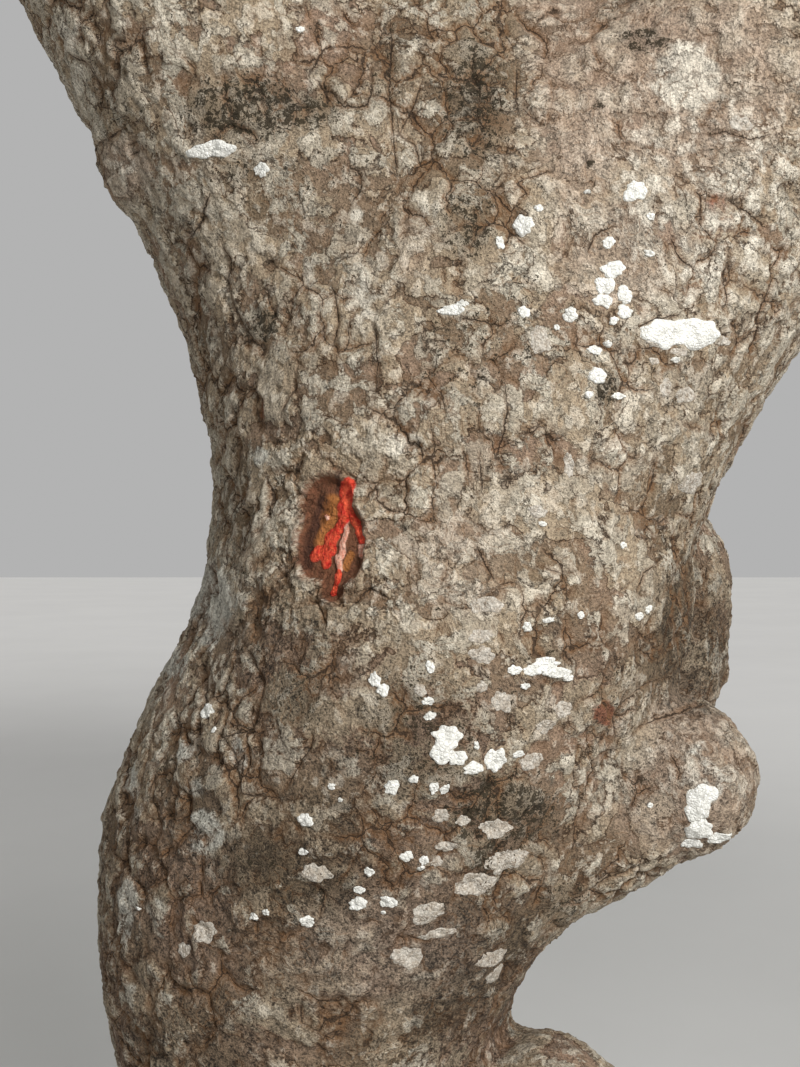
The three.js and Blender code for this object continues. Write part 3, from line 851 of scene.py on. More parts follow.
def relief_group(name, cut):
    """Geometry nodes that raise the bark's relief, and sink the cut where there is one."""
    tree = bpy.data.node_groups.new(name, "GeometryNodeTree")
    tree.interface.new_socket("Geometry", in_out="INPUT", socket_type="NodeSocketGeometry")
    tree.interface.new_socket("Geometry", in_out="OUTPUT", socket_type="NodeSocketGeometry")
    w = Wires(tree)
    given = w.add("NodeGroupInput").outputs[0]

    def stored(key, kind):
        return w.add("GeometryNodeInputNamedAttribute", {"Name": key}, data_type=kind).outputs[0]

    def keep(key, value, geometry):
        inputs = {"Geometry": geometry, "Name": key, "Value": value}
        node = w.add("GeometryNodeStoreNamedAttribute", inputs, data_type="FLOAT_VECTOR", domain="POINT")
        return node.outputs[0]

    place = stored("rest", "FLOAT_VECTOR")
    f = bark_fields(w, place)
    seam = w.add("ShaderNodeSeparateXYZ", {0: stored("seam", "FLOAT_VECTOR")}).outputs
    split = w.add("ShaderNodeSeparateXYZ", {0: stored("lights", "FLOAT_VECTOR")}).outputs[2]
    height = w.times(bark_height(w, f, seam, split), stored("relief", "FLOAT"))
    for key, parts in (
        ("layers", (f.thick, f.thin, f.scales)),
        ("tones", (f.broad, f.broken, f.shade)),
        ("stains", (f.mottle, f.wild, f.edge)),
    ):
        packed = w.add("ShaderNodeCombineXYZ", dict(enumerate(parts))).outputs[0]
        given = keep(key, packed, given)
    given = keep("warped", f.warped, given)
    if cut:
        depth = bpy.context.scene.marula_cut.depth
        c = cut_fields(w, place, 1.0)
        inside = w.turned(w.ease(c.hollow, 0.72, 1.12))
        ridge = w.times(w.turned(w.ease(c.fibre, 0.4, 1.1)), 0.35)
        bead = w.times(w.turned(w.ease(c.red, 0.3, 1.1)), 0.3)
        lip = w.times(w.ease(c.hollow, 0.95, 1.04), w.turned(w.ease(c.hollow, 1.06, 1.3)), 0.0012)
        sunk = w.times(inside, w.plus(-1.0, ridge, bead), depth)
        height = w.plus(w.times(height, w.ease(c.hollow, 0.8, 1.1, 0.45, 1.0)), sunk, lip)
    height = w.plus(height, w.times(stored("sink", "FLOAT"), -1.0))
    offset = w.vector("SCALE", stored("outward", "FLOAT_VECTOR"), scale=height)
    moved = w.add("GeometryNodeSetPosition", {"Geometry": given, "Offset": offset}).outputs[0]
    w.add("NodeGroupOutput", {0: moved})
    return tree


def raise_relief(piece, cut=False):
    name = "marula_relief_cut" if cut else "marula_relief"
    tree = bpy.data.node_groups.get(name) or relief_group(name, cut)
    piece.modifiers.new("relief", "NODES").node_group = tree
    graph = bpy.context.evaluated_depsgraph_get()
    made = bpy.data.meshes.new_from_object(
        piece.evaluated_get(graph), preserve_all_data_layers=True, depsgraph=graph
    )
    plain = piece.data
    piece.modifiers.clear()
    piece.data = made
    bpy.data.meshes.remove(plain)
    made.name = piece.name
    return piece


def bark_material(name, cut=False, kept=True):
    """Scaly grey-brown bark: flaking layers, brown furrows, dark cracks, sooty specks and stains. Painted
    shadow lines run under the flakes' edges, dim patches are partly painted shade, and blue-grey patches are
    partly painted light.

    Its broad patterns are read from the mesh, where that is fine enough to have kept them.
    """
    if name in bpy.data.materials:
        return bpy.data.materials[name]
    s = bpy.context.scene.marula_bark
    material = bpy.data.materials.new(name)
    material.use_nodes = True
    w = Wires(material.node_tree)
    shader = material.node_tree.nodes["Principled BSDF"]

    def three(key):
        return w.add("ShaderNodeSeparateXYZ", {0: w.field(key).outputs["Vector"]}).outputs

    place = w.field("rest").outputs["Vector"]
    if kept:
        thick, thin, scales = three("layers")
        broad, broken, plate = three("tones")
        mottle, wild, soft_edge = three("stains")
        warped = w.field("warped").outputs["Vector"]
    else:
        f = bark_fields(w, place)
        thick, thin, scales, broad, broken, plate = f.thick, f.thin, f.scales, f.broad, f.broken, f.shade
        mottle, wild, soft_edge, warped = f.mottle, f.wild, f.edge, f.warped
    soot, ash, rust = three("marks")
    pale, dim, split = three("lights")
    from_line, near_line, power = three("seam")
    broken = w.plus(broken, w.times(split, 0.1))
    fine = w.sum("SUBTRACT", w.cloud(place, 640, 3, 0.78), 0.5)
    grit = w.sum("SUBTRACT", w.cloud(place, 210, 3, 0.72), 0.5)
    fray = w.plus(w.times(grit, 0.16), w.times(fine, 0.1))
    # Dim patches also tip the layers towards dark umber, partly as painted shade
    weathered_and_shaded = w.plus(fray, w.times(pale, 0.07), w.times(dim, -0.06))

    colour = w.blend(w.ease(broad, 0.36, 0.66), rgba(s.umber), rgba(s.rosy))
    top = w.ease(w.plus(thick, weathered_and_shaded), 0.46, 0.51)
    colour = w.blend(top, colour, rgba(s.tan))
    second = w.times(w.ease(w.plus(thin, weathered_and_shaded), 0.5, 0.54), w.ease(plate, 0.1, 0.7, 0.5, 1.0))
    colour = w.blend(second, colour, rgba(s.grey))
    flecked = w.times(w.ease(w.plus(scales, weathered_and_shaded), 0.53, 0.6), 0.4)
    colour = w.blend(flecked, colour, rgba(s.pale))
    mottled = w.times(w.ease(w.plus(mottle, fray), 0.5, 0.66), 0.42)
    mottled = w.sum("MAXIMUM", mottled, w.times(soot, 0.4))
    colour = w.blend(mottled, colour, rgba(s.umber))
    calm = w.ease(split, -0.9, 0.0, 1.0, 0.0)
    colour = w.blend(w.times(calm, 0.5), colour, rgba(s.skin))
    halo = w.times(w.turned(w.ease(w.plus(soft_edge, fray), 0.02, 0.28)), calm, 0.55)
    colour = w.blend(halo, colour, rgba(s.rosy))
    paled = w.times(w.ease(w.plus(w.times(pale, 0.5), scales, fray), 0.88, 1.08), 0.8)
    colour = w.blend(paled, colour, rgba(s.pale))
    # Blue-grey smooth bark, partly painted light: paler on the trunk's shaded left side
    ash_and_lit = w.times(w.ease(w.plus(w.times(ash, 0.5), thin, fray), 0.78, 0.94), 0.85)
    colour = w.blend(ash_and_lit, colour, rgba(s.ash))
    rusted = w.times(w.ease(w.plus(w.times(rust, 0.5), scales, fray), 0.8, 0.98), 0.9)
    colour = w.blend(rusted, colour, rgba(s.rust))

    chip = w.times(w.sum("SUBTRACT", scales, 0.5), 0.8)
    # Painted shade in part: dim patches darken the colour where the bark lies in shade as well as where it is
    # darker; blue-grey patches hold out against it
    dimmed_and_shaded = w.times(dim, w.turned(w.times(ash_and_lit, 0.7)), -0.42)
    light = w.plus(1.0, chip, w.times(grit, 1.7), w.times(fine, 3.1), dimmed_and_shaded)
    light = w.sum("MAXIMUM", light, 0.1)
    shade = w.add("ShaderNodeCombineColor", {0: light, 1: light, 2: light}).outputs[0]
    colour = w.blend(1.0, colour, shade, "MULTIPLY")

    torn = w.ease(broken, 0.45, 0.6)
    furrow = w.times(w.turned(w.ease(w.plus(soft_edge, fray), 0.0, 0.13)), torn, 0.75)
    lined = w.times(w.turned(w.ease(near_line, 0.5, 4.5)), power, 0.5)
    rim = w.sum("ABSOLUTE", w.plus(thick, w.times(fray, 0.5), -0.485))
    stained = w.times(w.turned(w.ease(rim, 0.004, 0.026)), w.ease(mottle, 0.42, 0.6), 0.5)
    brown = w.sum("MAXIMUM", w.sum("MAXIMUM", furrow, lined), stained)
    colour = w.blend(brown, colour, rgba(s.furrow))

    edge = w.cells(warped, 1 / s.plate_size, "DISTANCE_TO_EDGE").outputs["Distance"]
    edge = w.plus(edge, w.times(fine, 0.05), w.times(grit, 0.03))
    hair = w.times(w.turned(w.ease(edge, 0.004, 0.018)), w.ease(broken, 0.5, 0.6), 0.85)
    patchy = w.ease(mottle, 0.4, 0.52)
    split_up = w.plus(1.0, w.times(calm, -0.75))
    # Dark lines along the flake layers' edges: partly cracks, partly painted shadow under the lifted edges
    rim = w.times(w.turned(w.ease(rim, 0.002, 0.007)), patchy, split_up, 0.8)
    step = w.sum("ABSOLUTE", w.plus(thin, w.times(fray, 0.6), -0.515))
    step = w.times(w.turned(w.ease(step, 0.002, 0.007)), w.turned(patchy), split_up, 0.6)
    line = w.sum("ABSOLUTE", w.plus(from_line, w.times(grit, 6.0), w.times(fine, 3.0)))
    line = w.times(w.turned(w.ease(line, 0.25, 1.0)), w.sum("LESS_THAN", near_line, 5.0), power)
    line = w.times(line, w.ease(mottle, 0.34, 0.5, 0.25, 0.9))
    cracks = w.sum("MAXIMUM", w.sum("MAXIMUM", hair, rim), w.sum("MAXIMUM", step, line))
    rings = w.sum("PINGPONG", w.plus(w.times(broken, 26.0), w.times(grit, 0.9)), 0.5)
    wrinkled = w.times(w.turned(w.ease(rings, 0.02, 0.12)), w.ease(plate, 0.35, 0.75), 0.4)
    colour = w.blend(wrinkled, colour, rgba(s.furrow))
    # The cracks' colour includes the painted shadow lines under the flakes' edges
    colour = w.blend(cracks, colour, rgba(s.crack))
    wild = w.times(w.ease(wild, 0.56, 0.68), 0.45)
    dirty = w.sum("MINIMUM", w.times(w.sum("MAXIMUM", soot, w.times(wild, 0.8)), 0.66), 0.52)
    dusted = w.plus(w.times(scales, 0.3), w.times(grit, 2.0), w.times(fine, 1.8), dirty)
    specks = w.times(w.ease(dusted, 0.63, 0.7), 0.95)
    pins = w.times(w.ease(w.plus(fine, w.times(grit, 0.6)), 0.17, 0.22), 0.6)
    specks = w.sum("MAXIMUM", specks, pins)
    colour = w.blend(specks, colour, rgba(s.soot))

    relief = w.plus(
        w.times(fine, 0.002),
        w.times(grit, 0.003),
        w.times(w.ease(w.plus(thick, fray), 0.475, 0.495), 0.0008),
        w.times(w.ease(w.plus(thin, fray), 0.508, 0.524), 0.0007),
        w.times(w.ease(w.plus(scales, fray), 0.49, 0.53), 0.0005),
        w.times(cracks, -0.0012),
        w.times(wrinkled, -0.0006),
    )
    gloss = w.ease(mottle, 0.3, 0.7, 0.78, 0.96)
    if cut:
        colour, relief, gloss = cut_colours(w, place, colour, relief, gloss)
    bump = w.add("ShaderNodeBump", {"Height": relief, "Distance": 1.0, "Strength": 1.0})
    w.put(shader.inputs["Base Color"], colour)
    w.put(shader.inputs["Roughness"], gloss)
    w.put(shader.inputs["Normal"], bump.outputs[0])
    shader.inputs["Specular IOR Level"].default_value = 0.25
    return material


def cut_colours(w, place, colour, relief, gloss):
    """Lays the cut's dark hollow, bare wood, pale fibres and wet red sap over the bark."""
    s = bpy.context.scene.marula_cut
    c = cut_fields(w, place, 3.0)
    drawn = w.vector("MULTIPLY", place, (1, 1, 0.25))
    grain = w.cloud(drawn, 900, 3, 0.6)
    patchy = w.cloud(place, 380, 4, 0.65)
    halo = w.times(w.turned(w.ease(c.hollow, 0.95, 1.3)), w.ease(patchy, 0.3, 0.7), 0.75)
    colour = w.blend(halo, colour, rgba(s.rim))
    inside = w.turned(w.ease(c.hollow, 0.9, 1.0))
    bed = w.blend(w.ease(patchy, 0.35, 0.65), rgba(s.bed), rgba(s.rim))
    colour = w.blend(inside, colour, bed)
    wood = w.times(w.turned(w.ease(c.wood, 0.7, 1.15)), w.ease(grain, 0.2, 0.6, 0.6, 1.0))
    colour = w.blend(wood, colour, w.blend(w.ease(grain, 0.5, 0.75), rgba(s.wood), rgba(s.rim)))
    band = w.times(w.turned(w.ease(c.band, 0.5, 1.3)), w.ease(grain, 0.25, 0.6, 0.9, 0.55))
    colour = w.blend(band, colour, rgba(s.dark))
    fibre = w.times(w.turned(w.ease(c.fibre, 0.7, 1.05)), w.ease(patchy, 0.28, 0.42))
    colour = w.blend(fibre, colour, w.blend(w.ease(grain, 0.3, 0.7), rgba(s.fibre), rgba(s.flesh)))
    red = w.times(w.turned(w.ease(c.red, 0.8, 1.08)), w.ease(patchy, 0.22, 0.34))
    bled = w.blend(w.ease(w.cloud(place, 300, 2, 0.6), 0.3, 0.7), rgba(s.sap), rgba(s.bright))
    colour = w.blend(red, colour, w.blend(w.ease(c.red, 0.3, 1.0, 0.0, 0.6), bled, rgba(s.sap)))
    relief = w.plus(relief, w.times(grain, inside, 0.0012), w.times(red, 0.0006))
    wet = w.sum("MAXIMUM", red, w.times(inside, 0.25))
    gloss = w.sum("SUBTRACT", gloss, w.times(wet, 0.42), clamp=True)
    return colour, relief, gloss


def lichen_material(name, crust, dust, cracks, worn):
    """A dry crust: two tones, fine crazing, and bark showing through where it is worn."""
    if name in bpy.data.materials:
        return bpy.data.materials[name]
    material = bpy.data.materials.new(name)
    material.use_nodes = True
    w = Wires(material.node_tree)
    shader = material.node_tree.nodes["Principled BSDF"]
    place = w.add("ShaderNodeTexCoord").outputs["Object"]
    lumps = w.cells(place, 420, "DISTANCE_TO_EDGE").outputs["Distance"]
    grain = w.cloud(place, 700, 4, 0.75)
    colour = w.blend(w.ease(w.cloud(place, 210, 4, 0.7), 0.42, 0.62), rgba(crust), rgba(dust))
    light = w.plus(1.0, w.times(w.sum("SUBTRACT", grain, 0.5), 1 + 2 * worn))
    shade = w.add("ShaderNodeCombineColor", {0: light, 1: light, 2: light}).outputs[0]
    colour = w.blend(1.0, colour, shade, "MULTIPLY")
    crazed = w.times(w.turned(w.ease(lumps, 0.0, 0.08)), w.ease(w.cloud(place, 120), 0.4, 0.6), 0.6)
    holes = w.times(w.ease(w.cloud(place, 330, 3, 0.7), 0.56, 0.66), worn)
    colour = w.blend(w.sum("MAXIMUM", crazed, holes), colour, rgba(cracks))
    relief = w.plus(w.times(grain, 0.0006), w.times(w.ease(lumps, 0.0, 0.3), 0.0005))
    bump = w.add("ShaderNodeBump", {"Height": relief, "Distance": 1.0, "Strength": 0.8})
    w.put(shader.inputs["Base Color"], colour)
    w.put(shader.inputs["Roughness"], w.ease(grain, 0.3, 0.7, 0.85, 0.98))
    w.put(shader.inputs["Normal"], bump.outputs[0])
    shader.inputs["Specular IOR Level"].default_value = 0.2
    return material


# Patches on the bark, as their middle and reach in the photograph's frame and their strength.
# Split bark has more cracks and calm bark has fewer. Dim patches darken the bark: partly its own darker tone
# towards the foot, partly painted shade over the lower trunk and in the crease above the burl. Ash patches
# are blue-grey smooth bark, made paler as painted light on the trunk's shaded left side.
PATCHES = {
    "soot": [
        (248, 108, 70, 36, 1),
        (312, 112, 34, 24, 0.8),
        (240, 172, 34, 22, 0.5),
        (345, 205, 44, 60, 0.35),
        (266, 326, 14, 20, 0.9),
        (478, 100, 38, 84, 0.7),
        (468, 224, 36, 44, 0.7),
        (645, 42, 26, 14, 1),
        (598, 108, 6, 7, 1.2),
        (588, 165, 5, 5, 1.2),
        (606, 388, 16, 20, 0.9),
        (452, 332, 30, 20, 0.5),
        (388, 60, 20, 60, 0.5),
        (302, 692, 26, 40, 0.5),
        (252, 862, 44, 34, 0.45),
        (505, 812, 62, 40, 1),
        (430, 742, 52, 62, 0.6),
        (492, 856, 32, 26, 0.8),
        (548, 656, 32, 12, 0.6),
        (392, 702, 22, 52, 0.45),
        (642, 792, 26, 26, 0.45),
        (330, 890, 40, 30, 0.5),
        (560, 900, 30, 30, 0.6),
    ],
    # Partly painted light: blue-grey smooth bark, made paler on the trunk's shaded left side
    "ash": [
        (214, 606, 26, 52, 1),
        (244, 600, 14, 26, 0.6),
        (176, 664, 18, 26, 0.8),
        (240, 755, 11, 26, 1),
        (188, 752, 12, 18, 0.8),
        (134, 800, 13, 46, 0.8),
        (206, 834, 26, 36, 0.85),
        (128, 905, 14, 50, 0.9),
        (262, 455, 11, 14, 0.9),
        (170, 770, 90, 110, 0.35),
        (195, 790, 17, 22, 0.8),
        (150, 960, 60, 100, 0.45),
        (690, 770, 60, 60, 0.6),
    ],
    "pale": [
        (688, 78, 46, 42, 1.5),
        (640, 130, 60, 40, 0.4),
        (428, 218, 26, 32, 0.85),
        (530, 266, 30, 24, 0.75),
        (662, 290, 26, 20, 0.4),
        (366, 296, 22, 44, 0.95),
        (404, 444, 24, 16, 1.2),
        (307, 272, 9, 14, 1.1),
        (357, 215, 10, 8, 1.1),
        (70, 36, 20, 20, 1.1),
        (82, 78, 10, 20, 1.2),
        (192, 234, 6, 7, 1.2),
        (200, 170, 120, 140, 0.5),
        (560, 300, 90, 90, 0.2),
        (700, 190, 150, 180, 0.9),
        (610, 160, 50, 50, 0.5),
        (640, 420, 90, 90, 0.65),
        (124, 168, 20, 28, 0.95),
        (470, 560, 90, 90, 0.3),
        (660, 770, 80, 70, 0.7),
        (540, 720, 60, 40, 0.25),
        (222, 510, 44, 150, 0.55),
        (185, 735, 44, 40, 0.3),
        (500, 130, 60, 80, 0.35),
    ],
    "rust": [
        (263, 415, 6, 20, 1),
        (600, 713, 14, 17, 1.2),
        (716, 204, 22, 16, 0.75),
        (690, 704, 34, 16, 0.5),
        (336, 472, 9, 11, 0.9),
        (190, 885, 12, 10, 0.5),
        (455, 180, 16, 8, 0.5),
        (640, 560, 10, 20, 0.4),
    ],
    "split": [
        (470, 150, 70, 170, 1),
        (385, 150, 16, 150, 0.9),
        (240, 470, 56, 130, 1),
        (270, 330, 60, 70, 0.7),
        (160, 90, 50, 40, 0.5),
        (210, 760, 110, 130, 0.8),
        (330, 790, 70, 90, 0.5),
        (150, 950, 70, 140, 0.9),
        (620, 740, 40, 60, 0.5),
        (500, 830, 60, 60, 0.7),
        (560, 900, 70, 40, 0.8),
        (340, 75, 50, 50, 0.4),
    ],
    "calm": [
        (690, 80, 110, 110, 1),
        (560, 90, 80, 130, 0.9),
        (620, 250, 80, 60, 0.6),
        (430, 240, 44, 60, 0.8),
        (680, 770, 80, 80, 1),
        (380, 950, 120, 60, 0.6),
        (214, 600, 30, 56, 1),
        (176, 664, 18, 26, 0.8),
        (460, 560, 60, 60, 0.4),
        (240, 755, 12, 26, 0.8),
        (126, 168, 28, 34, 0.9),
    ],
    # Partly painted shade: the lower trunk's shade and the crease above the burl, besides the bark's darker
    # tone towards the foot
    "dim": [
        (400, 770, 110, 110, 0.9),
        (330, 860, 130, 90, 1.1),
        (215, 915, 150, 165, 1),
        (330, 960, 190, 110, 0.9),
        (232, 500, 60, 120, 0.25),
        (290, 675, 70, 90, 1.0),
        (286, 390, 44, 70, 0.4),
        (470, 975, 100, 120, 1.25),
        (440, 60, 80, 90, 0.45),
        (690, 640, 50, 90, 1.25),
        (570, 670, 70, 50, 0.45),
        (690, 780, 90, 80, 0.4),
        (560, 870, 70, 60, 0.4),
        (250, 300, 60, 90, 0.15),
        (336, 60, 70, 60, 0.3),
        (636, 236, 40, 36, 0.5),
        (300, 368, 40, 40, 0.4),
        # Painted shadow in the crease above the burl
        (700, 702, 46, 20, 0.9),
        (190, 1045, 120, 50, 1.1),
        (390, 900, 60, 40, 0.6),
        (700, 560, 50, 120, 0.4),
    ],
}

# Islands of lichen: middle, width and height in the photograph's frame
WHITE_LICHEN = [
    (212, 150, 43, 16),
    (262, 170, 14, 14),
    (300, 30, 8, 6),
    (635, 192, 22, 20),
    (538, 210, 9, 8),
    (523, 226, 20, 20),
    (500, 243, 9, 13),
    (587, 192, 6, 4),
    (608, 243, 12, 12),
    (650, 217, 9, 7),
    (648, 254, 9, 7),
    (612, 270, 22, 17),
    (604, 286, 19, 18),
    (603, 301, 18, 14),
    (624, 295, 15, 17),
    (624, 312, 14, 14),
    (613, 321, 8, 9),
    (664, 334, 46, 26),
    (694, 333, 44, 30),
    (524, 312, 13, 12),
    (570, 315, 15, 14),
    (557, 327, 6, 6),
    (595, 350, 14, 10),
    (608, 344, 8, 6),
    (596, 376, 16, 18),
    (587, 395, 8, 8),
    (617, 396, 12, 7),
    (675, 360, 7, 6),
    (452, 311, 24, 12),
    (462, 305, 12, 8),
    (541, 524, 8, 6),
    (375, 680, 11, 16),
    (383, 690, 12, 14),
    (209, 711, 8, 16),
    (217, 730, 4, 6),
    (392, 786, 14, 16),
    (332, 786, 8, 6),
    (341, 799, 5, 4),
    (307, 819, 16, 13),
    (304, 851, 10, 7),
    (369, 871, 10, 10),
    (358, 903, 18, 12),
    (359, 889, 11, 9),
    (388, 900, 17, 12),
    (383, 911, 5, 4),
    (308, 920, 14, 12),
    (255, 916, 8, 8),
    (267, 911, 7, 6),
    (140, 908, 4, 3),
    (527, 627, 9, 11),
    (548, 620, 12, 6),
    (581, 615, 7, 7),
    (638, 616, 7, 9),
    (647, 609, 6, 8),
    (621, 545, 6, 6),
    (545, 664, 26, 14),
    (556, 672, 24, 12),
    (533, 670, 20, 12),
    (514, 670, 13, 11),
    (566, 677, 12, 8),
    (525, 686, 9, 7),
    (430, 667, 9, 13),
    (428, 701, 12, 9),
    (430, 716, 12, 9),
    (447, 738, 32, 24),
    (441, 752, 26, 20),
    (457, 757, 18, 16),
    (472, 767, 20, 13),
    (495, 760, 21, 25),
    (518, 754, 13, 8),
    (476, 745, 6, 8),
    (413, 778, 10, 8),
    (433, 786, 10, 12),
    (444, 788, 9, 12),
    (406, 855, 14, 10),
    (423, 858, 9, 9),
    (420, 866, 7, 6),
    (702, 797, 26, 28),
    (697, 812, 22, 20),
    (699, 830, 24, 26),
    (692, 844, 16, 12),
    (719, 836, 16, 14),
    (650, 805, 6, 5),
]
GREY_LICHEN = [
    (496, 829, 30, 20),
    (506, 861, 46, 22),
    (475, 884, 40, 24),
    (436, 861, 13, 10),
    (427, 911, 30, 24),
    (437, 933, 34, 12),
    (410, 956, 22, 26),
    (492, 958, 28, 18),
    (495, 974, 14, 22),
    (482, 687, 11, 13),
    (502, 702, 20, 22),
    (562, 709, 18, 16),
    (545, 726, 20, 14),
    (532, 762, 22, 18),
    (440, 815, 18, 14),
    (445, 845, 20, 12),
    (462, 820, 14, 10),
    (397, 955, 13, 14),
    (317, 872, 26, 20),
    (655, 361, 10, 8),
    (722, 341, 12, 10),
    (686, 395, 18, 18),
    (678, 352, 16, 8),
    (655, 340, 22, 14),
    (540, 340, 20, 30),
    (568, 465, 10, 24),
    (690, 482, 22, 26),
    (536, 512, 18, 14),
    (665, 388, 12, 18),
    (740, 124, 20, 14),
    (486, 605, 34, 18),
    (480, 636, 26, 14),
    (482, 655, 26, 18),
    (420, 690, 14, 12),
    (204, 932, 22, 20),
    (184, 950, 14, 12),
]


# Settings


class MarulaBark(bpy.types.PropertyGroup):
    plate_size: FloatProperty(
        name="Plate size", description="Width of a bark plate", default=0.027, min=0.005, unit="LENGTH"
    )
    flake_size: FloatProperty(
        name="Flake size", description="Width of a small scale", default=0.0095, min=0.003, unit="LENGTH"
    )
    crack_depth: FloatProperty(
        name="Crack depth", description="Depth of the cracks between plates", default=0.0024, unit="LENGTH"
    )
    flake_depth: FloatProperty(
        name="Flake depth", description="Height of the small scales", default=0.0009, unit="LENGTH"
    )
    swell_depth: FloatProperty(
        name="Swell depth", description="Height of the bark's broad waves", default=0.0034, unit="LENGTH"
    )
    tan: FloatVectorProperty(
        name="Tan", description="Main colour of the bark", subtype="COLOR", default=(0.365, 0.285, 0.195)
    )
    rosy: FloatVectorProperty(
        name="Rosy", description="Warmer parts of the bark", subtype="COLOR", default=(0.31, 0.21, 0.145)
    )
    grey: FloatVectorProperty(
        name="Grey", description="Weathered plate tops", subtype="COLOR", default=(0.465, 0.41, 0.32)
    )
    umber: FloatVectorProperty(
        name="Umber", description="Darker mottling", subtype="COLOR", default=(0.205, 0.148, 0.092)
    )
    skin: FloatVectorProperty(
        name="Skin", description="Smooth pinkish bark", subtype="COLOR", default=(0.475, 0.38, 0.295)
    )
    pale: FloatVectorProperty(
        name="Pale", description="Pale smooth patches", subtype="COLOR", default=(0.625, 0.572, 0.475)
    )
    # Also made paler as painted light where the trunk's left side is in shade
    ash: FloatVectorProperty(
        name="Ash", description="Blue-grey smooth patches", subtype="COLOR", default=(0.54, 0.52, 0.45)
    )
    rust: FloatVectorProperty(
        name="Rust", description="Rusty scars", subtype="COLOR", default=(0.2, 0.065, 0.03)
    )
    furrow: FloatVectorProperty(
        name="Furrow", description="Brown between plates", subtype="COLOR", default=(0.19, 0.095, 0.04)
    )
    # Also the colour of the painted shadow lines under the flakes' edges
    crack: FloatVectorProperty(
        name="Crack", description="Thin dark cracks", subtype="COLOR", default=(0.04, 0.025, 0.015)
    )
    soot: FloatVectorProperty(
        name="Soot", description="Sooty specks", subtype="COLOR", default=(0.03, 0.0215, 0.01)
    )


class MarulaCut(bpy.types.PropertyGroup):
    depth: FloatProperty(
        name="Depth", description="How far the cut is sunk", default=0.0042, min=0, unit="LENGTH"
    )
    rim: FloatVectorProperty(
        name="Rim", description="Brown rim", subtype="COLOR", default=(0.18, 0.07, 0.035)
    )
    dark: FloatVectorProperty(
        name="Dark", description="Darkest band", subtype="COLOR", default=(0.035, 0.012, 0.008)
    )
    bed: FloatVectorProperty(
        name="Bed", description="Bottom of the hollow", subtype="COLOR", default=(0.15, 0.065, 0.032)
    )
    wood: FloatVectorProperty(
        name="Wood", description="Bare orange wood", subtype="COLOR", default=(0.45, 0.17, 0.045)
    )
    sap: FloatVectorProperty(
        name="Sap", description="Deep red sap", subtype="COLOR", default=(0.55, 0.025, 0.015)
    )
    bright: FloatVectorProperty(
        name="Bright sap", description="Bright red sap", subtype="COLOR", default=(0.9, 0.14, 0.06)
    )
    fibre: FloatVectorProperty(
        name="Fibre", description="Pale strip of fibres", subtype="COLOR", default=(0.75, 0.5, 0.38)
    )
    flesh: FloatVectorProperty(
        name="Flesh", description="Pink in the fibres", subtype="COLOR", default=(0.72, 0.27, 0.18)
    )


class MarulaLichen(bpy.types.PropertyGroup):
    thickness: FloatProperty(
        name="Thickness", description="Thickness of a white island", default=0.0011, unit="LENGTH"
    )
    strays: IntProperty(name="Strays", description="Islands round the back", default=60, min=0)
    white: FloatVectorProperty(
        name="White", description="White crust", subtype="COLOR", default=(0.76, 0.75, 0.7)
    )
    grey: FloatVectorProperty(
        name="Grey", description="Grey crust", subtype="COLOR", default=(0.47, 0.43, 0.37)
    )


class MarulaCrown(bpy.types.PropertyGroup):
    leaf_length: FloatProperty(
        name="Leaf length", description="Length of a feathered leaf", default=0.27, min=0.1, unit="LENGTH"
    )
    leaves: IntProperty(name="Leaves", description="Leaves at each branchlet's end", default=5, min=1)
    twig_radius: FloatProperty(
        name="Twig radius", description="Radius of a twig at its foot", default=0.016, unit="LENGTH"
    )
    deep: FloatVectorProperty(
        name="Deep green", description="Older leaves", subtype="COLOR", default=(0.05, 0.115, 0.026)
    )
    fresh: FloatVectorProperty(
        name="Fresh green", description="Most leaves", subtype="COLOR", default=(0.085, 0.17, 0.034)
    )
    light: FloatVectorProperty(
        name="Light green", description="Lighter sprays", subtype="COLOR", default=(0.145, 0.24, 0.055)
    )
    yellow: FloatVectorProperty(
        name="Yellow green", description="Turning sprays", subtype="COLOR", default=(0.24, 0.27, 0.06)
    )
    twig: FloatVectorProperty(
        name="Twig", description="Grey-brown young twigs", subtype="COLOR", default=(0.2, 0.16, 0.12)
    )


class MarulaStage(bpy.types.PropertyGroup):
    floor: FloatVectorProperty(
        name="Floor", description="Pale floor", subtype="COLOR", default=(0.72, 0.71, 0.69)
    )
    sky: FloatVectorProperty(
        name="Sky", description="Light from all round", subtype="COLOR", default=(0.9, 0.9, 0.9)
    )
    sky_strength: FloatProperty(name="Sky strength", description="How bright it is", default=0.5)
    key: FloatProperty(name="Key", description="Front light", default=36, unit="POWER")
    lens: FloatProperty(name="Lens", description="Focal length", default=38, unit="CAMERA")


# Pieces


# The space that the trunk's mesh is sampled in, and how closely
TRUNK_SPACE = ((-0.5, -0.5, -0.03), (0.72, 0.56, 2.0))
TRUNK_STEP = 0.01
GROUND = SimpleNamespace(below=-0.004, at=0.001, relief=0.02)

# Bark seen close by: how far it may turn away and lie back, and pixels past the photograph's edges.
# It is two pieces that part at a height, with the cut's piece let in.
CLOSE = SimpleNamespace(turned=-0.12, back=0.2, beside=90, above=70, parting=1.2)
CUT_PIECE = (0.046, 0.062)

# How far one piece's rim is sunk under the next, and the fork's limbs under the boughs
SUNK = SimpleNamespace(rim=0.002, limb=0.012, fade=0.04, past=0.05)

# Cracks fade this many pixels from their line, and a number of pixels that stands for nowhere near
CRACK_REACH = 30
NO_CRACK = 60.0


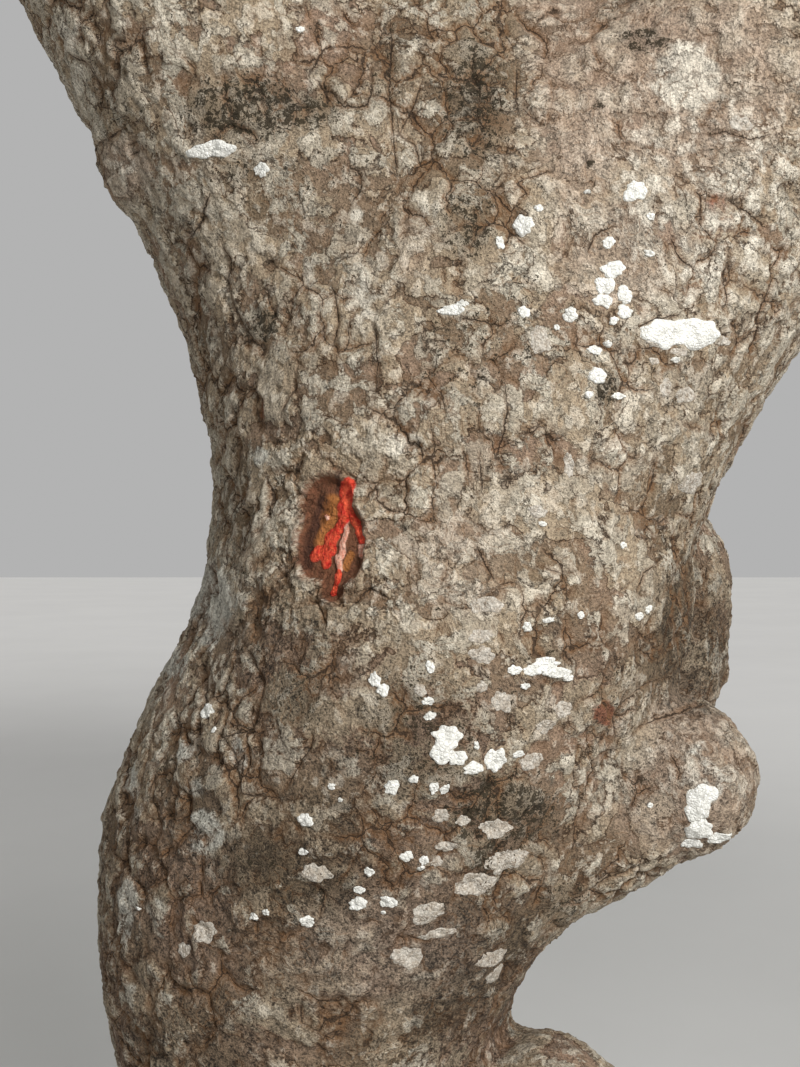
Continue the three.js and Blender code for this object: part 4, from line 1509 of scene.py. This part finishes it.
def patch_fields(points, outward):
    """How strongly each patch of colour shows at each point, and how near it is to a long crack."""
    seen = pixel_of(points)
    facing = ((np.array(VIEW.place) - points) * outward).sum(-1) > -0.02
    kinds = {}
    for key, patches in PATCHES.items():
        strength = np.zeros(len(points))
        for x, y, wide, tall, most in patches:
            far = np.hypot((seen[:, 0] - x) / wide, (seen[:, 1] - y) / tall)
            strength = np.maximum(strength, most * (1 - smooth(far, 0.3, 1.5)))
        kinds[key] = np.where(facing, strength, 0)
    from_line, nearest, power = np.full((3, len(points)), NO_CRACK)
    for line in CRACKS:
        line = np.array(line, float)
        low, high = line.min(0) - 20, line.max(0) + 20
        close = np.flatnonzero(facing & ((seen > low) & (seen < high)).all(1))
        lengths = np.linalg.norm(np.diff(line, axis=0), axis=1)
        starts = np.concatenate([[0], np.cumsum(lengths)])
        for k, length in enumerate(lengths):
            way = (line[k + 1] - line[k]) / length
            away = seen[close] - line[k]
            along = np.clip(away @ way, 0, length)
            far = np.linalg.norm(away - along[:, None] * way, axis=1)
            side = np.sign(away[:, 0] * way[1] - away[:, 1] * way[0])
            better = far < nearest[close]
            mine = close[better]
            nearest[mine] = far[better]
            from_line[mine] = (far * side)[better]
            share = (starts[k] + along[better]) / starts[-1]
            power[mine] = np.minimum(1, 2.2 * np.sin(math.pi * np.clip(share, 0.02, 0.98)))
    power[nearest > CRACK_REACH] = 0
    return {
        "marks": np.column_stack([kinds["soot"], kinds["ash"], kinds["rust"]]),
        "lights": np.column_stack([kinds["pale"], kinds["dim"], kinds["split"] - kinds["calm"]]),
        "seam": np.column_stack([from_line, nearest, power]),
    }


def limb_cover(points):
    """How far each point lies past the end of a fork's limb, where a bough covers it."""
    cover = np.zeros(len(points))
    for name, (_, aim, _, _, r1) in FORK.items():
        end, aim = limb_end(name), unit(np.array(aim))
        past = (points - end) @ aim
        near = np.linalg.norm(points - end, axis=1) < r1 + SUNK.past
        cover = np.maximum(cover, np.where(near, smooth(past, 0.0, SUNK.fade), 0))
    return cover


def bark_piece(name, points, faces, material, splits, sunk, cut=False):
    """A stretch of the trunk's bark from coarse faces, split and settled on the surface as often as asked."""
    used, faces = np.unique(faces, return_inverse=True)
    values = np.column_stack([points[used], sunk[used]])
    faces = faces.reshape(-1, 4)
    for _ in range(splits):
        values, faces = split_faces(values, faces)
        values[:, :3], _ = settle(values[:, :3], 1)
    points, outward = settle(values[:, :3], 1)
    points[:, 2] = np.maximum(points[:, 2], 0)
    fields = patch_fields(points, outward)
    fields["sink"] = values[:, 3] * SUNK.rim + limb_cover(points) * SUNK.limb
    fields["rest"] = points
    fields["relief"] = smooth(points[:, 2], 0.0, GROUND.relief)
    outward[points[:, 2] < GROUND.at, 2] = 0
    fields["outward"] = outward
    piece = mesh_object(name, points, faces, [material], fields=fields)
    return dress(raise_relief(piece, cut), "bark", "trunk")


def ring_of(faces, chosen):
    """The faces that aren't chosen but touch one that is."""
    touched = np.zeros(faces.max() + 1, bool)
    touched[faces[chosen].ravel()] = True
    return touched[faces].any(1) & ~chosen


class MARULA_OT_trunk(bpy.types.Operator):
    """Bark of the trunk and its fork, finest where it is seen close by, with the red cut in it"""

    bl_idname = "marula.trunk"
    bl_label = "Trunk"

    def execute(self, context):
        points, faces = skin_of(trunk_distance, *TRUNK_SPACE, TRUNK_STEP)
        points, outward = settle(points)
        faces = faces[points[faces].mean(1)[:, 2] > GROUND.below]
        middles, ways = points[faces].mean(1), unit(outward[faces].mean(1))
        seen = pixel_of(middles)
        close = ((np.array(VIEW.place) - middles) * ways).sum(-1) > CLOSE.turned
        close &= middles[:, 1] < CLOSE.back
        close &= np.abs(seen[:, 0] - VIEW.wide / 2) < VIEW.wide / 2 + CLOSE.beside
        close &= np.abs(seen[:, 1] - VIEW.tall / 2) < VIEW.tall / 2 + CLOSE.above
        middle, right, up = cut_frame()
        flat = np.stack([(middles - middle) @ right, (middles - middle) @ up], -1)
        cut = close & (np.abs(flat) < CUT_PIECE).all(1)
        close &= ~cut
        plain, far = bark_material("marula_bark"), bark_material("marula_bark_far", kept=False)
        rest = ~(close | cut)
        rim = ring_of(faces, rest)
        bark_piece("bark_rest", points, faces[rest | rim], far, 1, self.inner(points, faces, rim, rest))
        rim = ring_of(faces, close) & cut
        sunk = self.inner(points, faces, rim, close)
        upper = middles[:, 2] > CLOSE.parting
        bark_piece("bark_close_above", points, faces[(close | rim) & upper], plain, 2, sunk)
        bark_piece("bark_close_below", points, faces[(close | rim) & ~upper], plain, 2, sunk)
        cut_bark = bark_material("marula_cut_bark", cut=True)
        bark_piece("bark_cut", points, faces[cut], cut_bark, 4, np.zeros(len(points)), cut=True)
        return {"FINISHED"}

    def inner(self, points, faces, rim, kept):
        """1 at points that only the overlapping rim uses, 0 elsewhere."""
        sunk = np.zeros(len(points))
        sunk[faces[rim].ravel()] = 1
        sunk[faces[kept].ravel()] = 0
        return sunk


# A bough's mesh: its sides, the step between its rings, where a leading one starts inside the fork,
# and how far its end runs on into the mass
BOUGH_MESH = SimpleNamespace(
    leading_sides=60, side_sides=36, step=0.013, back=(0.06, 0.03), slimmer=(0.012, 0.004), past=0.03
)

# The collar where a side bough leaves its parent: how far along it reaches, and how it swells
COLLAR = SimpleNamespace(reach=0.8, swell=0.45, inside=0.9, fade=0.07, least=0.72, more=0.9)


class MARULA_OT_boughs(bpy.types.Operator):
    """Bark of each bough, from its collar to where it enters its mass"""

    bl_idname = "marula.boughs"
    bl_label = "Boughs"

    def execute(self, context):
        material = bark_material("marula_bark_far", kept=False)
        for bough in lay_boughs().values():
            path = bough.centre_at(np.linspace(0, 1, 400))
            length = np.linalg.norm(np.diff(path, axis=0), axis=1).sum()
            sides = BOUGH_MESH.leading_sides if bough.parent is None else BOUGH_MESH.side_sides
            rings = int(length / BOUGH_MESH.step)
            t = np.linspace(0, 1, rings)
            path, radii = bough.centre_at(t), bough_radius(bough, t)
            if bough.parent is None:
                back = np.array(BOUGH_MESH.back)
                path = np.concatenate([bough.start - bough.aim * back[:, None], path])
                radii = np.concatenate([bough.r0 - np.array(BOUGH_MESH.slimmer), radii])
            else:
                along = np.linspace(0, 1, 300)
                apart = np.linalg.norm(path[:, None] - bough.parent.centre_at(along)[None], axis=2)
                inside = bough_radius(bough.parent, along)[apart.argmin(1)]
                apart = np.where(t * length < COLLAR.reach, apart.min(1), 1.0)
                out = np.maximum(apart - inside * COLLAR.inside, 0)
                radii = radii * (1 + COLLAR.swell * np.exp(-out / COLLAR.fade))
                slim = COLLAR.least + COLLAR.more * smooth(apart / inside, 0.25, 1.3)
                radii = np.minimum(radii, inside * slim)
            ahead = unit(path[-1] - path[-2])
            path = np.concatenate([path, [path[-1] + ahead * BOUGH_MESH.past]])
            radii = np.append(radii, bough.r1 * 0.5)
            points, faces, outward = tubes([path], [radii], sides)
            away = np.linalg.norm(points - limb_end("middle"), axis=1)
            points = points + outward * (ripples(points) * (1 - smooth(away, 0.4, 1.2)))[:, None]
            along = np.repeat(radii, sides)
            young = 1 - smooth(along, 0.02, 0.1)
            fields = {
                "rest": points,
                "outward": outward,
                "sink": np.zeros(len(points)),
                "relief": 0.45 + 0.55 * smooth(along, 0.03, 0.11),
                "seam": np.tile((NO_CRACK, NO_CRACK, 0.0), (len(points), 1)),
                "lights": np.column_stack([0 * young, 0.8 * young, -0.25 - 0.5 * young]),
            }
            name = f"bark_{bough.name}"
            piece = mesh_object(name, points, faces, [material], fields=fields)
            dress(raise_relief(piece), "bark", f"bough_{bough.name}")
        return {"FINISHED"}


def nearest_hit(trees, start, way, reach):
    """The first point that a ray meets on any of the bark's pieces, or None."""
    hits = [tree.ray_cast(Vector(start), Vector(way), reach) for tree in trees]
    hits = [hit for hit in hits if hit[0] is not None]
    return np.array(min(hits, key=lambda hit: hit[3])[0]) if hits else None


# An island's points round its edge and from its middle outwards, and how far off bark may lie
ISLAND = SimpleNamespace(around=40, rings=7, near=0.02, tucked=-0.0006)

# Islands round the back: their heights, their turns about the stem, their sizes and their scatter
STRAYS = SimpleNamespace(
    low=0.25, high=1.6, first=-0.2, last=math.pi + 0.2, off=0.9, small=0.005, large=0.024, drift=0.016
)


def island(trees, middle, out, wide, tall, thickness, rng):
    """One island of lichen laid on the bark, as a round grid with a ragged edge."""
    around, rings = ISLAND.around, ISLAND.rings
    right = unit(np.cross((0, 0, 1), out))
    up = np.cross(out, right)
    angles = np.arange(around) / around * 2 * math.pi
    edge = np.ones(around)
    for k in range(2, 10):
        edge += 0.24 / k**0.7 * rng.uniform(0.2, 1) * np.sin(k * angles + rng.uniform(0, 2 * math.pi))
    edge = np.clip(edge, 0.5, 1.5)
    points = []
    for ring in range(rings):
        share = min(1.0, (ring + 0.15) / (rings - 1.4))
        last = ring == rings - 1
        for j in range(around):
            reach = share * edge[j]
            spot = middle + right * (math.cos(angles[j]) * reach * wide / 2)
            spot = spot + up * (math.sin(angles[j]) * reach * tall / 2)
            base = nearest_hit(trees, spot + out * ISLAND.near, -out, 2.5 * ISLAND.near)
            if base is None or np.linalg.norm(base - spot) > ISLAND.near:
                base = spot
            lift = ISLAND.tucked if last else thickness * (1 - 0.35 * share**4) * rng.uniform(0.8, 1.15)
            points.append(base + out * lift)
    faces = []
    for ring in range(rings - 1):
        for j in range(around):
            a, b = ring * around + j, ring * around + (j + 1) % around
            faces.append((a, a + around, b + around, b))
    for j in range(1, around // 2):
        faces.append((j - 1, j, around - 1 - j, (around - j) % around))
    return points, faces


class MARULA_OT_lichen(bpy.types.Operator):
    """White and grey islands of lichen on the bark"""

    bl_idname = "marula.lichen"
    bl_label = "Lichen"

    def execute(self, context):
        s = context.scene.marula_lichen
        graph = context.evaluated_depsgraph_get()

        def bark_of(*names):
            return [BVHTree.FromObject(bpy.data.objects[name], graph) for name in names]

        close = bark_of("bark_close_above", "bark_close_below")
        rest = bark_of("bark_rest")
        cracks = (0.3, 0.27, 0.22)
        white = lichen_material("marula_white_lichen", s.white, (0.64, 0.63, 0.58), cracks, 0.12)
        dust, bark = (0.36, 0.31, 0.25), (0.14, 0.1, 0.065)
        grey = lichen_material("marula_grey_lichen", s.grey, dust, bark, 0.75)
        self.lay("lichen_white", WHITE_LICHEN, close, white, s.thickness, 3)
        self.lay("lichen_grey", GREY_LICHEN, close, grey, s.thickness * 0.35, 4)
        self.scatter("lichen_strays", rest, [white, grey], s)
        return {"FINISHED"}

    def lay(self, name, spots, trees, material, thickness, seed):
        rng = np.random.default_rng(seed)
        middles = on_trunk([spot[:2] for spot in spots])
        outs = unit(slope_of(middles))
        points, faces = [], []
        for middle, out, (_, _, wide, tall) in zip(middles, outs, spots):
            away = middle - np.array(VIEW.place)
            size = np.linalg.norm(away) / VIEW.focal
            tilt = abs(unit(np.array((away[0], away[1], 0))) @ out)
            more, joined = island(
                trees, middle, out, wide * size / max(tilt, 0.45), tall * size, thickness, rng
            )
            faces.extend(tuple(k + len(points) for k in face) for face in joined)
            points.extend(more)
        dress(mesh_object(name, points, faces, [material]), "bark")

    def scatter(self, name, trees, materials, s):
        rng = np.random.default_rng(11)
        points, faces, shades = [], [], []
        for index in range(s.strays):
            height = rng.uniform(STRAYS.low, STRAYS.high)
            turn = rng.uniform(STRAYS.first, STRAYS.last)
            mid_x, mid_y, _ = stem_at(np.array(height))
            away = STRAYS.off * np.array((math.cos(turn), math.sin(turn)))
            start = np.array((mid_x + away[0], mid_y + away[1], height))
            way = unit(np.array((mid_x, mid_y, height)) - start)
            middle = nearest_hit(trees, start, way, 2.0)
            if middle is None:
                continue
            out = unit(slope_of(middle[None]))[0]
            for _ in range(rng.integers(1, 4)):
                size = rng.uniform(STRAYS.small, STRAYS.large)
                shift = rng.normal(0, STRAYS.drift, 3)
                spot = middle + shift - out * (shift @ out)
                more, joined = island(
                    trees, spot, out, size, size * rng.uniform(0.5, 1.1), s.thickness, rng
                )
                faces.extend(tuple(k + len(points) for k in face) for face in joined)
                shades.extend([1 if index % 3 == 2 else 0] * len(joined))
                points.extend(more)
        dress(mesh_object(name, points, faces, materials, shades), "bark")


def twig_material():
    name = "marula_twig"
    if name in bpy.data.materials:
        return bpy.data.materials[name]
    s = bpy.context.scene.marula_crown
    material = bpy.data.materials.new(name)
    material.use_nodes = True
    w = Wires(material.node_tree)
    shader = material.node_tree.nodes["Principled BSDF"]
    place = w.add("ShaderNodeTexCoord").outputs["Object"]
    patches = w.ease(w.cloud(place, 40, 4, 0.6), 0.35, 0.65)
    colour = w.blend(patches, rgba(s.twig), rgba(tuple(0.6 * c for c in s.twig)))
    bump = w.add("ShaderNodeBump", {"Height": w.cloud(place, 260, 4, 0.7), "Distance": 0.002})
    w.put(shader.inputs["Base Color"], colour)
    w.put(shader.inputs["Roughness"], w.ease(patches, 0, 1, 0.75, 0.92))
    w.put(shader.inputs["Normal"], bump.outputs[0])
    return material


def leaf_material(name, colour):
    if name in bpy.data.materials:
        return bpy.data.materials[name]
    material = bpy.data.materials.new(name)
    material.use_nodes = True
    w = Wires(material.node_tree)
    shader = material.node_tree.nodes["Principled BSDF"]
    place = w.add("ShaderNodeTexCoord").outputs["Object"]
    shader.inputs["Base Color"].default_value = rgba(colour)
    veins = w.cloud(place, 160, 3, 0.6)
    bump = w.add("ShaderNodeBump", {"Height": veins, "Distance": 0.003, "Strength": 0.5})
    w.put(shader.inputs["Roughness"], w.ease(veins, 0.3, 0.7, 0.38, 0.56))
    w.put(shader.inputs["Normal"], bump.outputs[0])
    shader.inputs["Specular IOR Level"].default_value = 0.4
    return material


@lru_cache(maxsize=None)
def leaf_shapes():
    """Feathered leaves one unit long: a bowed stalk with leaflets in pairs and one at its end."""
    shapes = []
    for pairs, bow, seed in ((4, 0.16, 1), (4, 0.28, 2), (3, 0.1, 3), (5, 0.2, 4)):
        rng = np.random.default_rng(seed)
        points, faces = [], []

        def stalk(t):
            return np.array((t, 0.03 * math.sin(3 * t), -bow * t * t))

        def leaflet(root, way, length, tilt):
            way = unit(way)
            across = unit(np.cross((0, 0, 1), way))
            across = across * math.cos(tilt) + np.cross(way, across) * math.sin(tilt)
            normal = np.cross(way, across)
            base = len(points)
            half = length * 0.2
            for along, out, up in (
                (0, 0, 0),
                (0.3, 1, 0.3),
                (0.7, 0.8, 0.2),
                (1, 0, -0.25),
                (0.7, -0.8, 0.2),
                (0.3, -1, 0.3),
            ):
                points.append(root + way * along * length + across * out * half + normal * up * half)
            faces.append((base, base + 3, base + 2, base + 1))
            faces.append((base, base + 5, base + 4, base + 3))

        for k in range(pairs):
            t = 0.24 + 0.62 * k / (pairs - 1)
            length = 0.3 * (1 - 0.25 * abs(2 * k / (pairs - 1) - 0.8)) * rng.uniform(0.9, 1.1)
            for side in (-1, 1):
                way = np.array((0.55 + 0.1 * k, side, -0.12 + rng.uniform(-0.15, 0.1)))
                leaflet(stalk(t + rng.uniform(-0.02, 0.02)), way, length, rng.uniform(-0.3, 0.3))
        leaflet(stalk(0.93), stalk(1.0) - stalk(0.9), 0.3, rng.uniform(-0.2, 0.2))
        base = len(points)
        for t, half in ((0, 0.012), (0.5, 0.009), (0.97, 0.005)):
            points.extend([stalk(t) + (0, -half, 0), stalk(t) + (0, half, 0)])
        faces.append((base, base + 2, base + 3, base + 1))
        faces.append((base + 2, base + 4, base + 5, base + 3))
        shapes.append((np.array(points), np.array(faces)))
    return shapes


# A spray's branchlets: the main one's reach, the points of each, where along it the others fork
# off and how long they are, where leaves sit on it, and the radii at their feet
BRANCHLET = SimpleNamespace(
    reach=0.4,
    points=6,
    forks=(0.3, 0.5, 0.68, 0.84),
    short=0.09,
    long=0.17,
    leafy=(0.45, 0.62, 0.78),
    main_radius=0.0062,
    fork_radius=0.0042,
    sides=5,
)

# A twig's mesh: its points, the sides of the stem and of the others, and how far back the stem starts
TWIG_MESH = SimpleNamespace(points=26, stem_sides=14, sides=9, back=0.04)


def carry_on(spray, rng):
    """A spray's branchlets as paths, and its leaves as roots and ways."""
    flat = np.cross(spray.way, spray.side)
    reach = BRANCHLET.reach * rng.uniform(0.9, 1.1)
    t = np.linspace(0, 1, BRANCHLET.points)[:, None]
    sway = spray.side * rng.normal(0, 0.03) + flat * rng.normal(0, 0.02) - np.array((0, 0, 0.03))
    main = spray.root + spray.way * reach * t + sway * t**2
    paths = [main]
    ends = [(main[-1], unit(main[-1] - main[-2]))]
    for k, share in enumerate(BRANCHLET.forks):
        place = share * (BRANCHLET.points - 1)
        i = int(place)
        root = mix(main[i], main[i + 1], place - i)
        sign = 1 if (k + rng.integers(2)) % 2 else -1
        way = unit(spray.way * 0.7 + spray.side * sign * rng.uniform(0.7, 1.1) + flat * rng.normal(0, 0.45))
        length = rng.uniform(BRANCHLET.short, BRANCHLET.long)
        bend = np.array((0, 0, 0.03)) * rng.uniform(-0.6, 1)
        paths.append(root + way * length * t + bend * t**2)
        ends.append((paths[-1][-1], unit(paths[-1][-1] - paths[-1][-2])))
    roots, ways = [], []
    count = bpy.context.scene.marula_crown.leaves
    for place, aim in ends:
        across = unit(np.cross(aim, (0.3, 0.2, 0.93)))
        up = np.cross(across, aim)
        first = rng.uniform(0, 2 * math.pi)
        for j in range(count):
            turn = first + 2 * math.pi * (j + rng.uniform(-0.2, 0.2)) / count
            open_up = rng.uniform(0.6, 1.25)
            way = aim * math.cos(open_up)
            way = way + (across * math.cos(turn) + up * math.sin(turn)) * math.sin(open_up)
            way[2] -= 0.15
            roots.append(place - aim * rng.uniform(0, 0.05))
            ways.append(unit(way))
    for share in BRANCHLET.leafy:
        place = share * (BRANCHLET.points - 1)
        i = int(place)
        way = unit(spray.way * 0.4 + spray.side * rng.choice((-1, 1)) + flat * rng.normal(0, 0.6))
        roots.append(mix(main[i], main[i + 1], place - i))
        ways.append(way)
    return paths, roots, ways


@lru_cache(maxsize=None)
def mass_growth(name):
    """A mass's twigs, branchlets and leaves."""
    mass = next(m for m in lay_masses() if m.name == name)
    rng = np.random.default_rng(mass.seed)
    twigs = grow_twigs(mass)
    branchlets, roots, ways, owners = [], [], [], []
    for index, spray in enumerate(grow_sprays(mass, twigs)):
        paths, leaf_roots, leaf_ways = carry_on(spray, rng)
        branchlets.extend(paths)
        roots.extend(leaf_roots)
        ways.extend(leaf_ways)
        owners.extend([index] * len(leaf_roots))
    return mass, twigs, np.array(branchlets), np.array(roots), np.array(ways), np.array(owners)


class MARULA_OT_twigs(bpy.types.Operator):
    """Twigs and branchlets of each mass, growing on from its bough"""

    bl_idname = "marula.twigs"
    bl_label = "Twigs"

    def execute(self, context):
        s = context.scene.marula_crown
        thin = twig_material()
        for bough in lay_boughs().values():
            mass, twigs, branchlets, _, _, _ = mass_growth(bough.mass.name)
            rng = np.random.default_rng(mass.seed + 9)
            points, faces = [], []
            count = 0
            for index, twig in enumerate(twigs):
                path = self.eased(twig.points, TWIG_MESH.points, rng)
                t = np.linspace(0, 1, TWIG_MESH.points)
                if index == 0:
                    start = path[0] - unit(path[1] - path[0]) * TWIG_MESH.back
                    path = np.concatenate([[start], path])
                    radii = np.append(bough.r1, mix(bough.r1, s.twig_radius, t**0.7))
                    sides = TWIG_MESH.stem_sides
                else:
                    foot = s.twig_radius * (1.5 - 0.5 * twig.leave)
                    radii = foot * (1 - 0.6 * t) * (1 + 0.5 * np.exp(-t * 14))
                    sides = TWIG_MESH.sides
                made, joined, _ = tubes([path], [radii], sides)
                points.append(made)
                faces.append(joined + count)
                count += len(made)
            t = np.linspace(0, 1, BRANCHLET.points)
            leads = np.arange(len(branchlets)) % (1 + len(BRANCHLET.forks)) == 0
            foot = np.where(leads, BRANCHLET.main_radius, BRANCHLET.fork_radius)
            radii = foot[:, None] * (1 - 0.55 * t)
            made, joined, _ = tubes(branchlets, radii, BRANCHLET.sides)
            points.append(made)
            faces.append(joined + count)
            name = f"twigs_{mass.name}"
            piece = mesh_object(name, np.concatenate(points), np.concatenate(faces), [thin])
            dress(piece, "bark", f"foliage_{mass.name}")
        return {"FINISHED"}

    def eased(self, points, count, rng):
        """A soft curve through a twig's three points, with a little wander."""
        a, b, c = points
        t = np.linspace(0, 1, count)[:, None]
        bent = b + (b - (a + c) / 2) * 0.5
        path = a * (1 - t) ** 2 + 2 * bent * t * (1 - t) + c * t**2
        span = np.linalg.norm(c - a)
        phase = rng.uniform(0, 2 * math.pi, 3)
        swing = np.sin(phase + t * (9, 11, 10)) * np.sin(math.pi * t)
        return path + swing * 0.018 * span


# How leaves vary: their least and most size, how near a limb they may come, the share of each tint
# from deep to yellow, and how far they roll
LEAVES = SimpleNamespace(least=0.72, most=1.1, clear=0.02, shares=(0.34, 0.4, 0.2, 0.06), roll=0.55)


class MARULA_OT_leaves(bpy.types.Operator):
    """Feathered leaves in rosettes at the branchlets' ends, one joined mesh for each mass"""

    bl_idname = "marula.leaves"
    bl_label = "Leaves"

    def execute(self, context):
        s = context.scene.marula_crown
        tints = [
            leaf_material("marula_leaf_deep", s.deep),
            leaf_material("marula_leaf_fresh", s.fresh),
            leaf_material("marula_leaf_light", s.light),
            leaf_material("marula_leaf_yellow", s.yellow),
        ]
        for mass in lay_masses():
            _, _, _, roots, ways, owners = mass_growth(mass.name)
            rng = np.random.default_rng(mass.seed + 3)
            sizes = s.leaf_length * rng.uniform(LEAVES.least, LEAVES.most, len(roots))
            tips = roots + ways * sizes[:, None]
            kept = in_space(mass, tips) & in_space(mass, roots)
            kept &= clear_of_limbs(tips, LEAVES.clear) & clear_of_limbs((tips + roots) / 2, LEAVES.clear)
            roots, ways, owners, sizes = roots[kept], ways[kept], owners[kept], sizes[kept]
            dealt = rng.choice(len(tints), size=owners.max() + 1, p=LEAVES.shares)
            self.lay(mass, roots, ways, sizes, dealt[owners], rng, tints)
        return {"FINISHED"}

    def lay(self, mass, roots, ways, sizes, tints, rng, materials):
        level = unit(np.cross((0, 0, 1), ways))
        top = np.cross(ways, level)
        roll = rng.normal(0, LEAVES.roll, len(roots))[:, None]
        side = level * np.cos(roll) + top * np.sin(roll)
        top = np.cross(ways, side)
        kinds = rng.integers(0, len(leaf_shapes()), len(roots))
        points, faces, shades = [], [], []
        count = 0
        for kind, (shape, joined) in enumerate(leaf_shapes()):
            mine = kinds == kind
            number = mine.sum()
            made = roots[mine][:, None] + sizes[mine][:, None, None] * (
                shape[None, :, 0:1] * ways[mine][:, None]
                + shape[None, :, 1:2] * side[mine][:, None]
                + shape[None, :, 2:3] * top[mine][:, None]
            )
            points.append(made.reshape(-1, 3))
            shift = np.arange(number) * len(shape) + count
            faces.append((joined[None] + shift[:, None, None]).reshape(-1, 4))
            shades.append(np.repeat(tints[mine], len(joined)))
            count += number * len(shape)
        name = f"leaves_{mass.name}"
        piece = mesh_object(
            name, np.concatenate(points), np.concatenate(faces), materials, np.concatenate(shades)
        )
        dress(piece, "foliage", f"foliage_{mass.name}")


# The floor's half width and its squares, and the two lights
FLOOR = SimpleNamespace(half=30, squares=20, below=0.0005)
KEY_LIGHT = SimpleNamespace(place=(0.95, -1.5, 2.0), target=(0.15, 0, 1.35), size=0.5)
SUN = SimpleNamespace(strength=1.6, spread=0.6, tilt=48, turn=28)


class MARULA_OT_stage(bpy.types.Operator):
    """Pale floor, soft light all round with a broad light in front, and the photograph's camera"""

    bl_idname = "marula.stage"
    bl_label = "Stage"

    def execute(self, context):
        s = context.scene.marula_stage
        material = bpy.data.materials.new("marula_floor")
        material.use_nodes = True
        w = Wires(material.node_tree)
        shader = material.node_tree.nodes["Principled BSDF"]
        place = w.add("ShaderNodeTexCoord").outputs["Object"]
        clouded = w.ease(w.cloud(place, 0.8, 4, 0.6), 0.2, 0.8)
        darker = tuple(0.95 * c for c in s.floor)
        w.put(shader.inputs["Base Color"], w.blend(clouded, rgba(darker), rgba(s.floor)))
        shader.inputs["Roughness"].default_value = 0.9
        marks, row = np.linspace(-FLOOR.half, FLOOR.half, FLOOR.squares + 1), FLOOR.squares + 1
        x, y = np.meshgrid(marks, marks, indexing="ij")
        points = np.stack([x, y, np.full_like(x, -FLOOR.below)], -1).reshape(-1, 3)
        corner = (np.arange(FLOOR.squares)[:, None] * row + np.arange(FLOOR.squares)).ravel()
        faces = np.stack([corner, corner + row, corner + row + 1, corner + 1], -1)
        mesh_object("floor", points, faces, [material])

        world = bpy.data.worlds.new("marula_sky")
        world.use_nodes = True
        sky = world.node_tree.nodes["Background"]
        sky.inputs["Color"].default_value = rgba(s.sky)
        sky.inputs["Strength"].default_value = s.sky_strength
        context.scene.world = world

        context.scene.view_settings.view_transform = "Standard"
        self.lamp("key", KEY_LIGHT.place, KEY_LIGHT.target, KEY_LIGHT.size, s.key)
        sun = bpy.data.lights.new("sun", "SUN")
        sun.energy = SUN.strength
        sun.angle = SUN.spread
        lamp = bpy.data.objects.new("sun", sun)
        lamp.rotation_euler = (math.radians(SUN.tilt), 0, math.radians(SUN.turn))
        context.scene.collection.objects.link(lamp)

        lens = bpy.data.cameras.new("camera")
        lens.lens = s.lens
        lens.sensor_width = 36
        lens.clip_start = 0.02
        lens.clip_end = 200
        camera = bpy.data.objects.new("camera", lens)
        camera.location = VIEW.place
        camera.rotation_euler = (math.radians(90), 0, 0)
        context.scene.collection.objects.link(camera)
        context.scene.camera = camera
        return {"FINISHED"}

    def lamp(self, name, place, target, size, power):
        light = bpy.data.lights.new(name, "AREA")
        light.shape = "DISK"
        light.size = size
        light.energy = power
        lamp = bpy.data.objects.new(name, light)
        lamp.location = place
        aim = Vector(target) - Vector(place)
        lamp.rotation_euler = aim.to_track_quat("-Z", "Y").to_euler()
        bpy.context.scene.collection.objects.link(lamp)


class MARULA_PT_tree(bpy.types.Panel):
    """Buttons and settings for each part of the tree"""

    bl_idname = "MARULA_PT_tree"
    bl_label = "Marula Tree"
    bl_space_type = "VIEW_3D"
    bl_region_type = "UI"
    bl_category = "Tree"

    def draw(self, context):
        for operator, group in STEPS:
            box = self.layout.box()
            box.operator(operator.bl_idname)
            if group:
                settings = getattr(context.scene, group)
                for key in settings.__annotations__:
                    box.prop(settings, key)


STEPS = [
    (MARULA_OT_trunk, "marula_bark"),
    (MARULA_OT_boughs, "marula_cut"),
    (MARULA_OT_lichen, "marula_lichen"),
    (MARULA_OT_twigs, "marula_crown"),
    (MARULA_OT_leaves, None),
    (MARULA_OT_stage, "marula_stage"),
]
GROUPS = {
    "marula_bark": MarulaBark,
    "marula_cut": MarulaCut,
    "marula_lichen": MarulaLichen,
    "marula_crown": MarulaCrown,
    "marula_stage": MarulaStage,
}


def register():
    for group in GROUPS.values():
        bpy.utils.register_class(group)
    for operator, _ in STEPS:
        bpy.utils.register_class(operator)
    bpy.utils.register_class(MARULA_PT_tree)
    for name, group in GROUPS.items():
        setattr(bpy.types.Scene, name, PointerProperty(type=group))


def unregister():
    for name in GROUPS:
        delattr(bpy.types.Scene, name)
    bpy.utils.unregister_class(MARULA_PT_tree)
    for operator, _ in reversed(STEPS):
        bpy.utils.unregister_class(operator)
    for group in reversed(GROUPS.values()):
        bpy.utils.unregister_class(group)


def main():
    register()
    bpy.ops.marula.trunk()
    bpy.ops.marula.boughs()
    bpy.ops.marula.lichen()
    bpy.ops.marula.twigs()
    bpy.ops.marula.leaves()
    bpy.ops.marula.stage()
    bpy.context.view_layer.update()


if __name__ == "__main__":
    main()
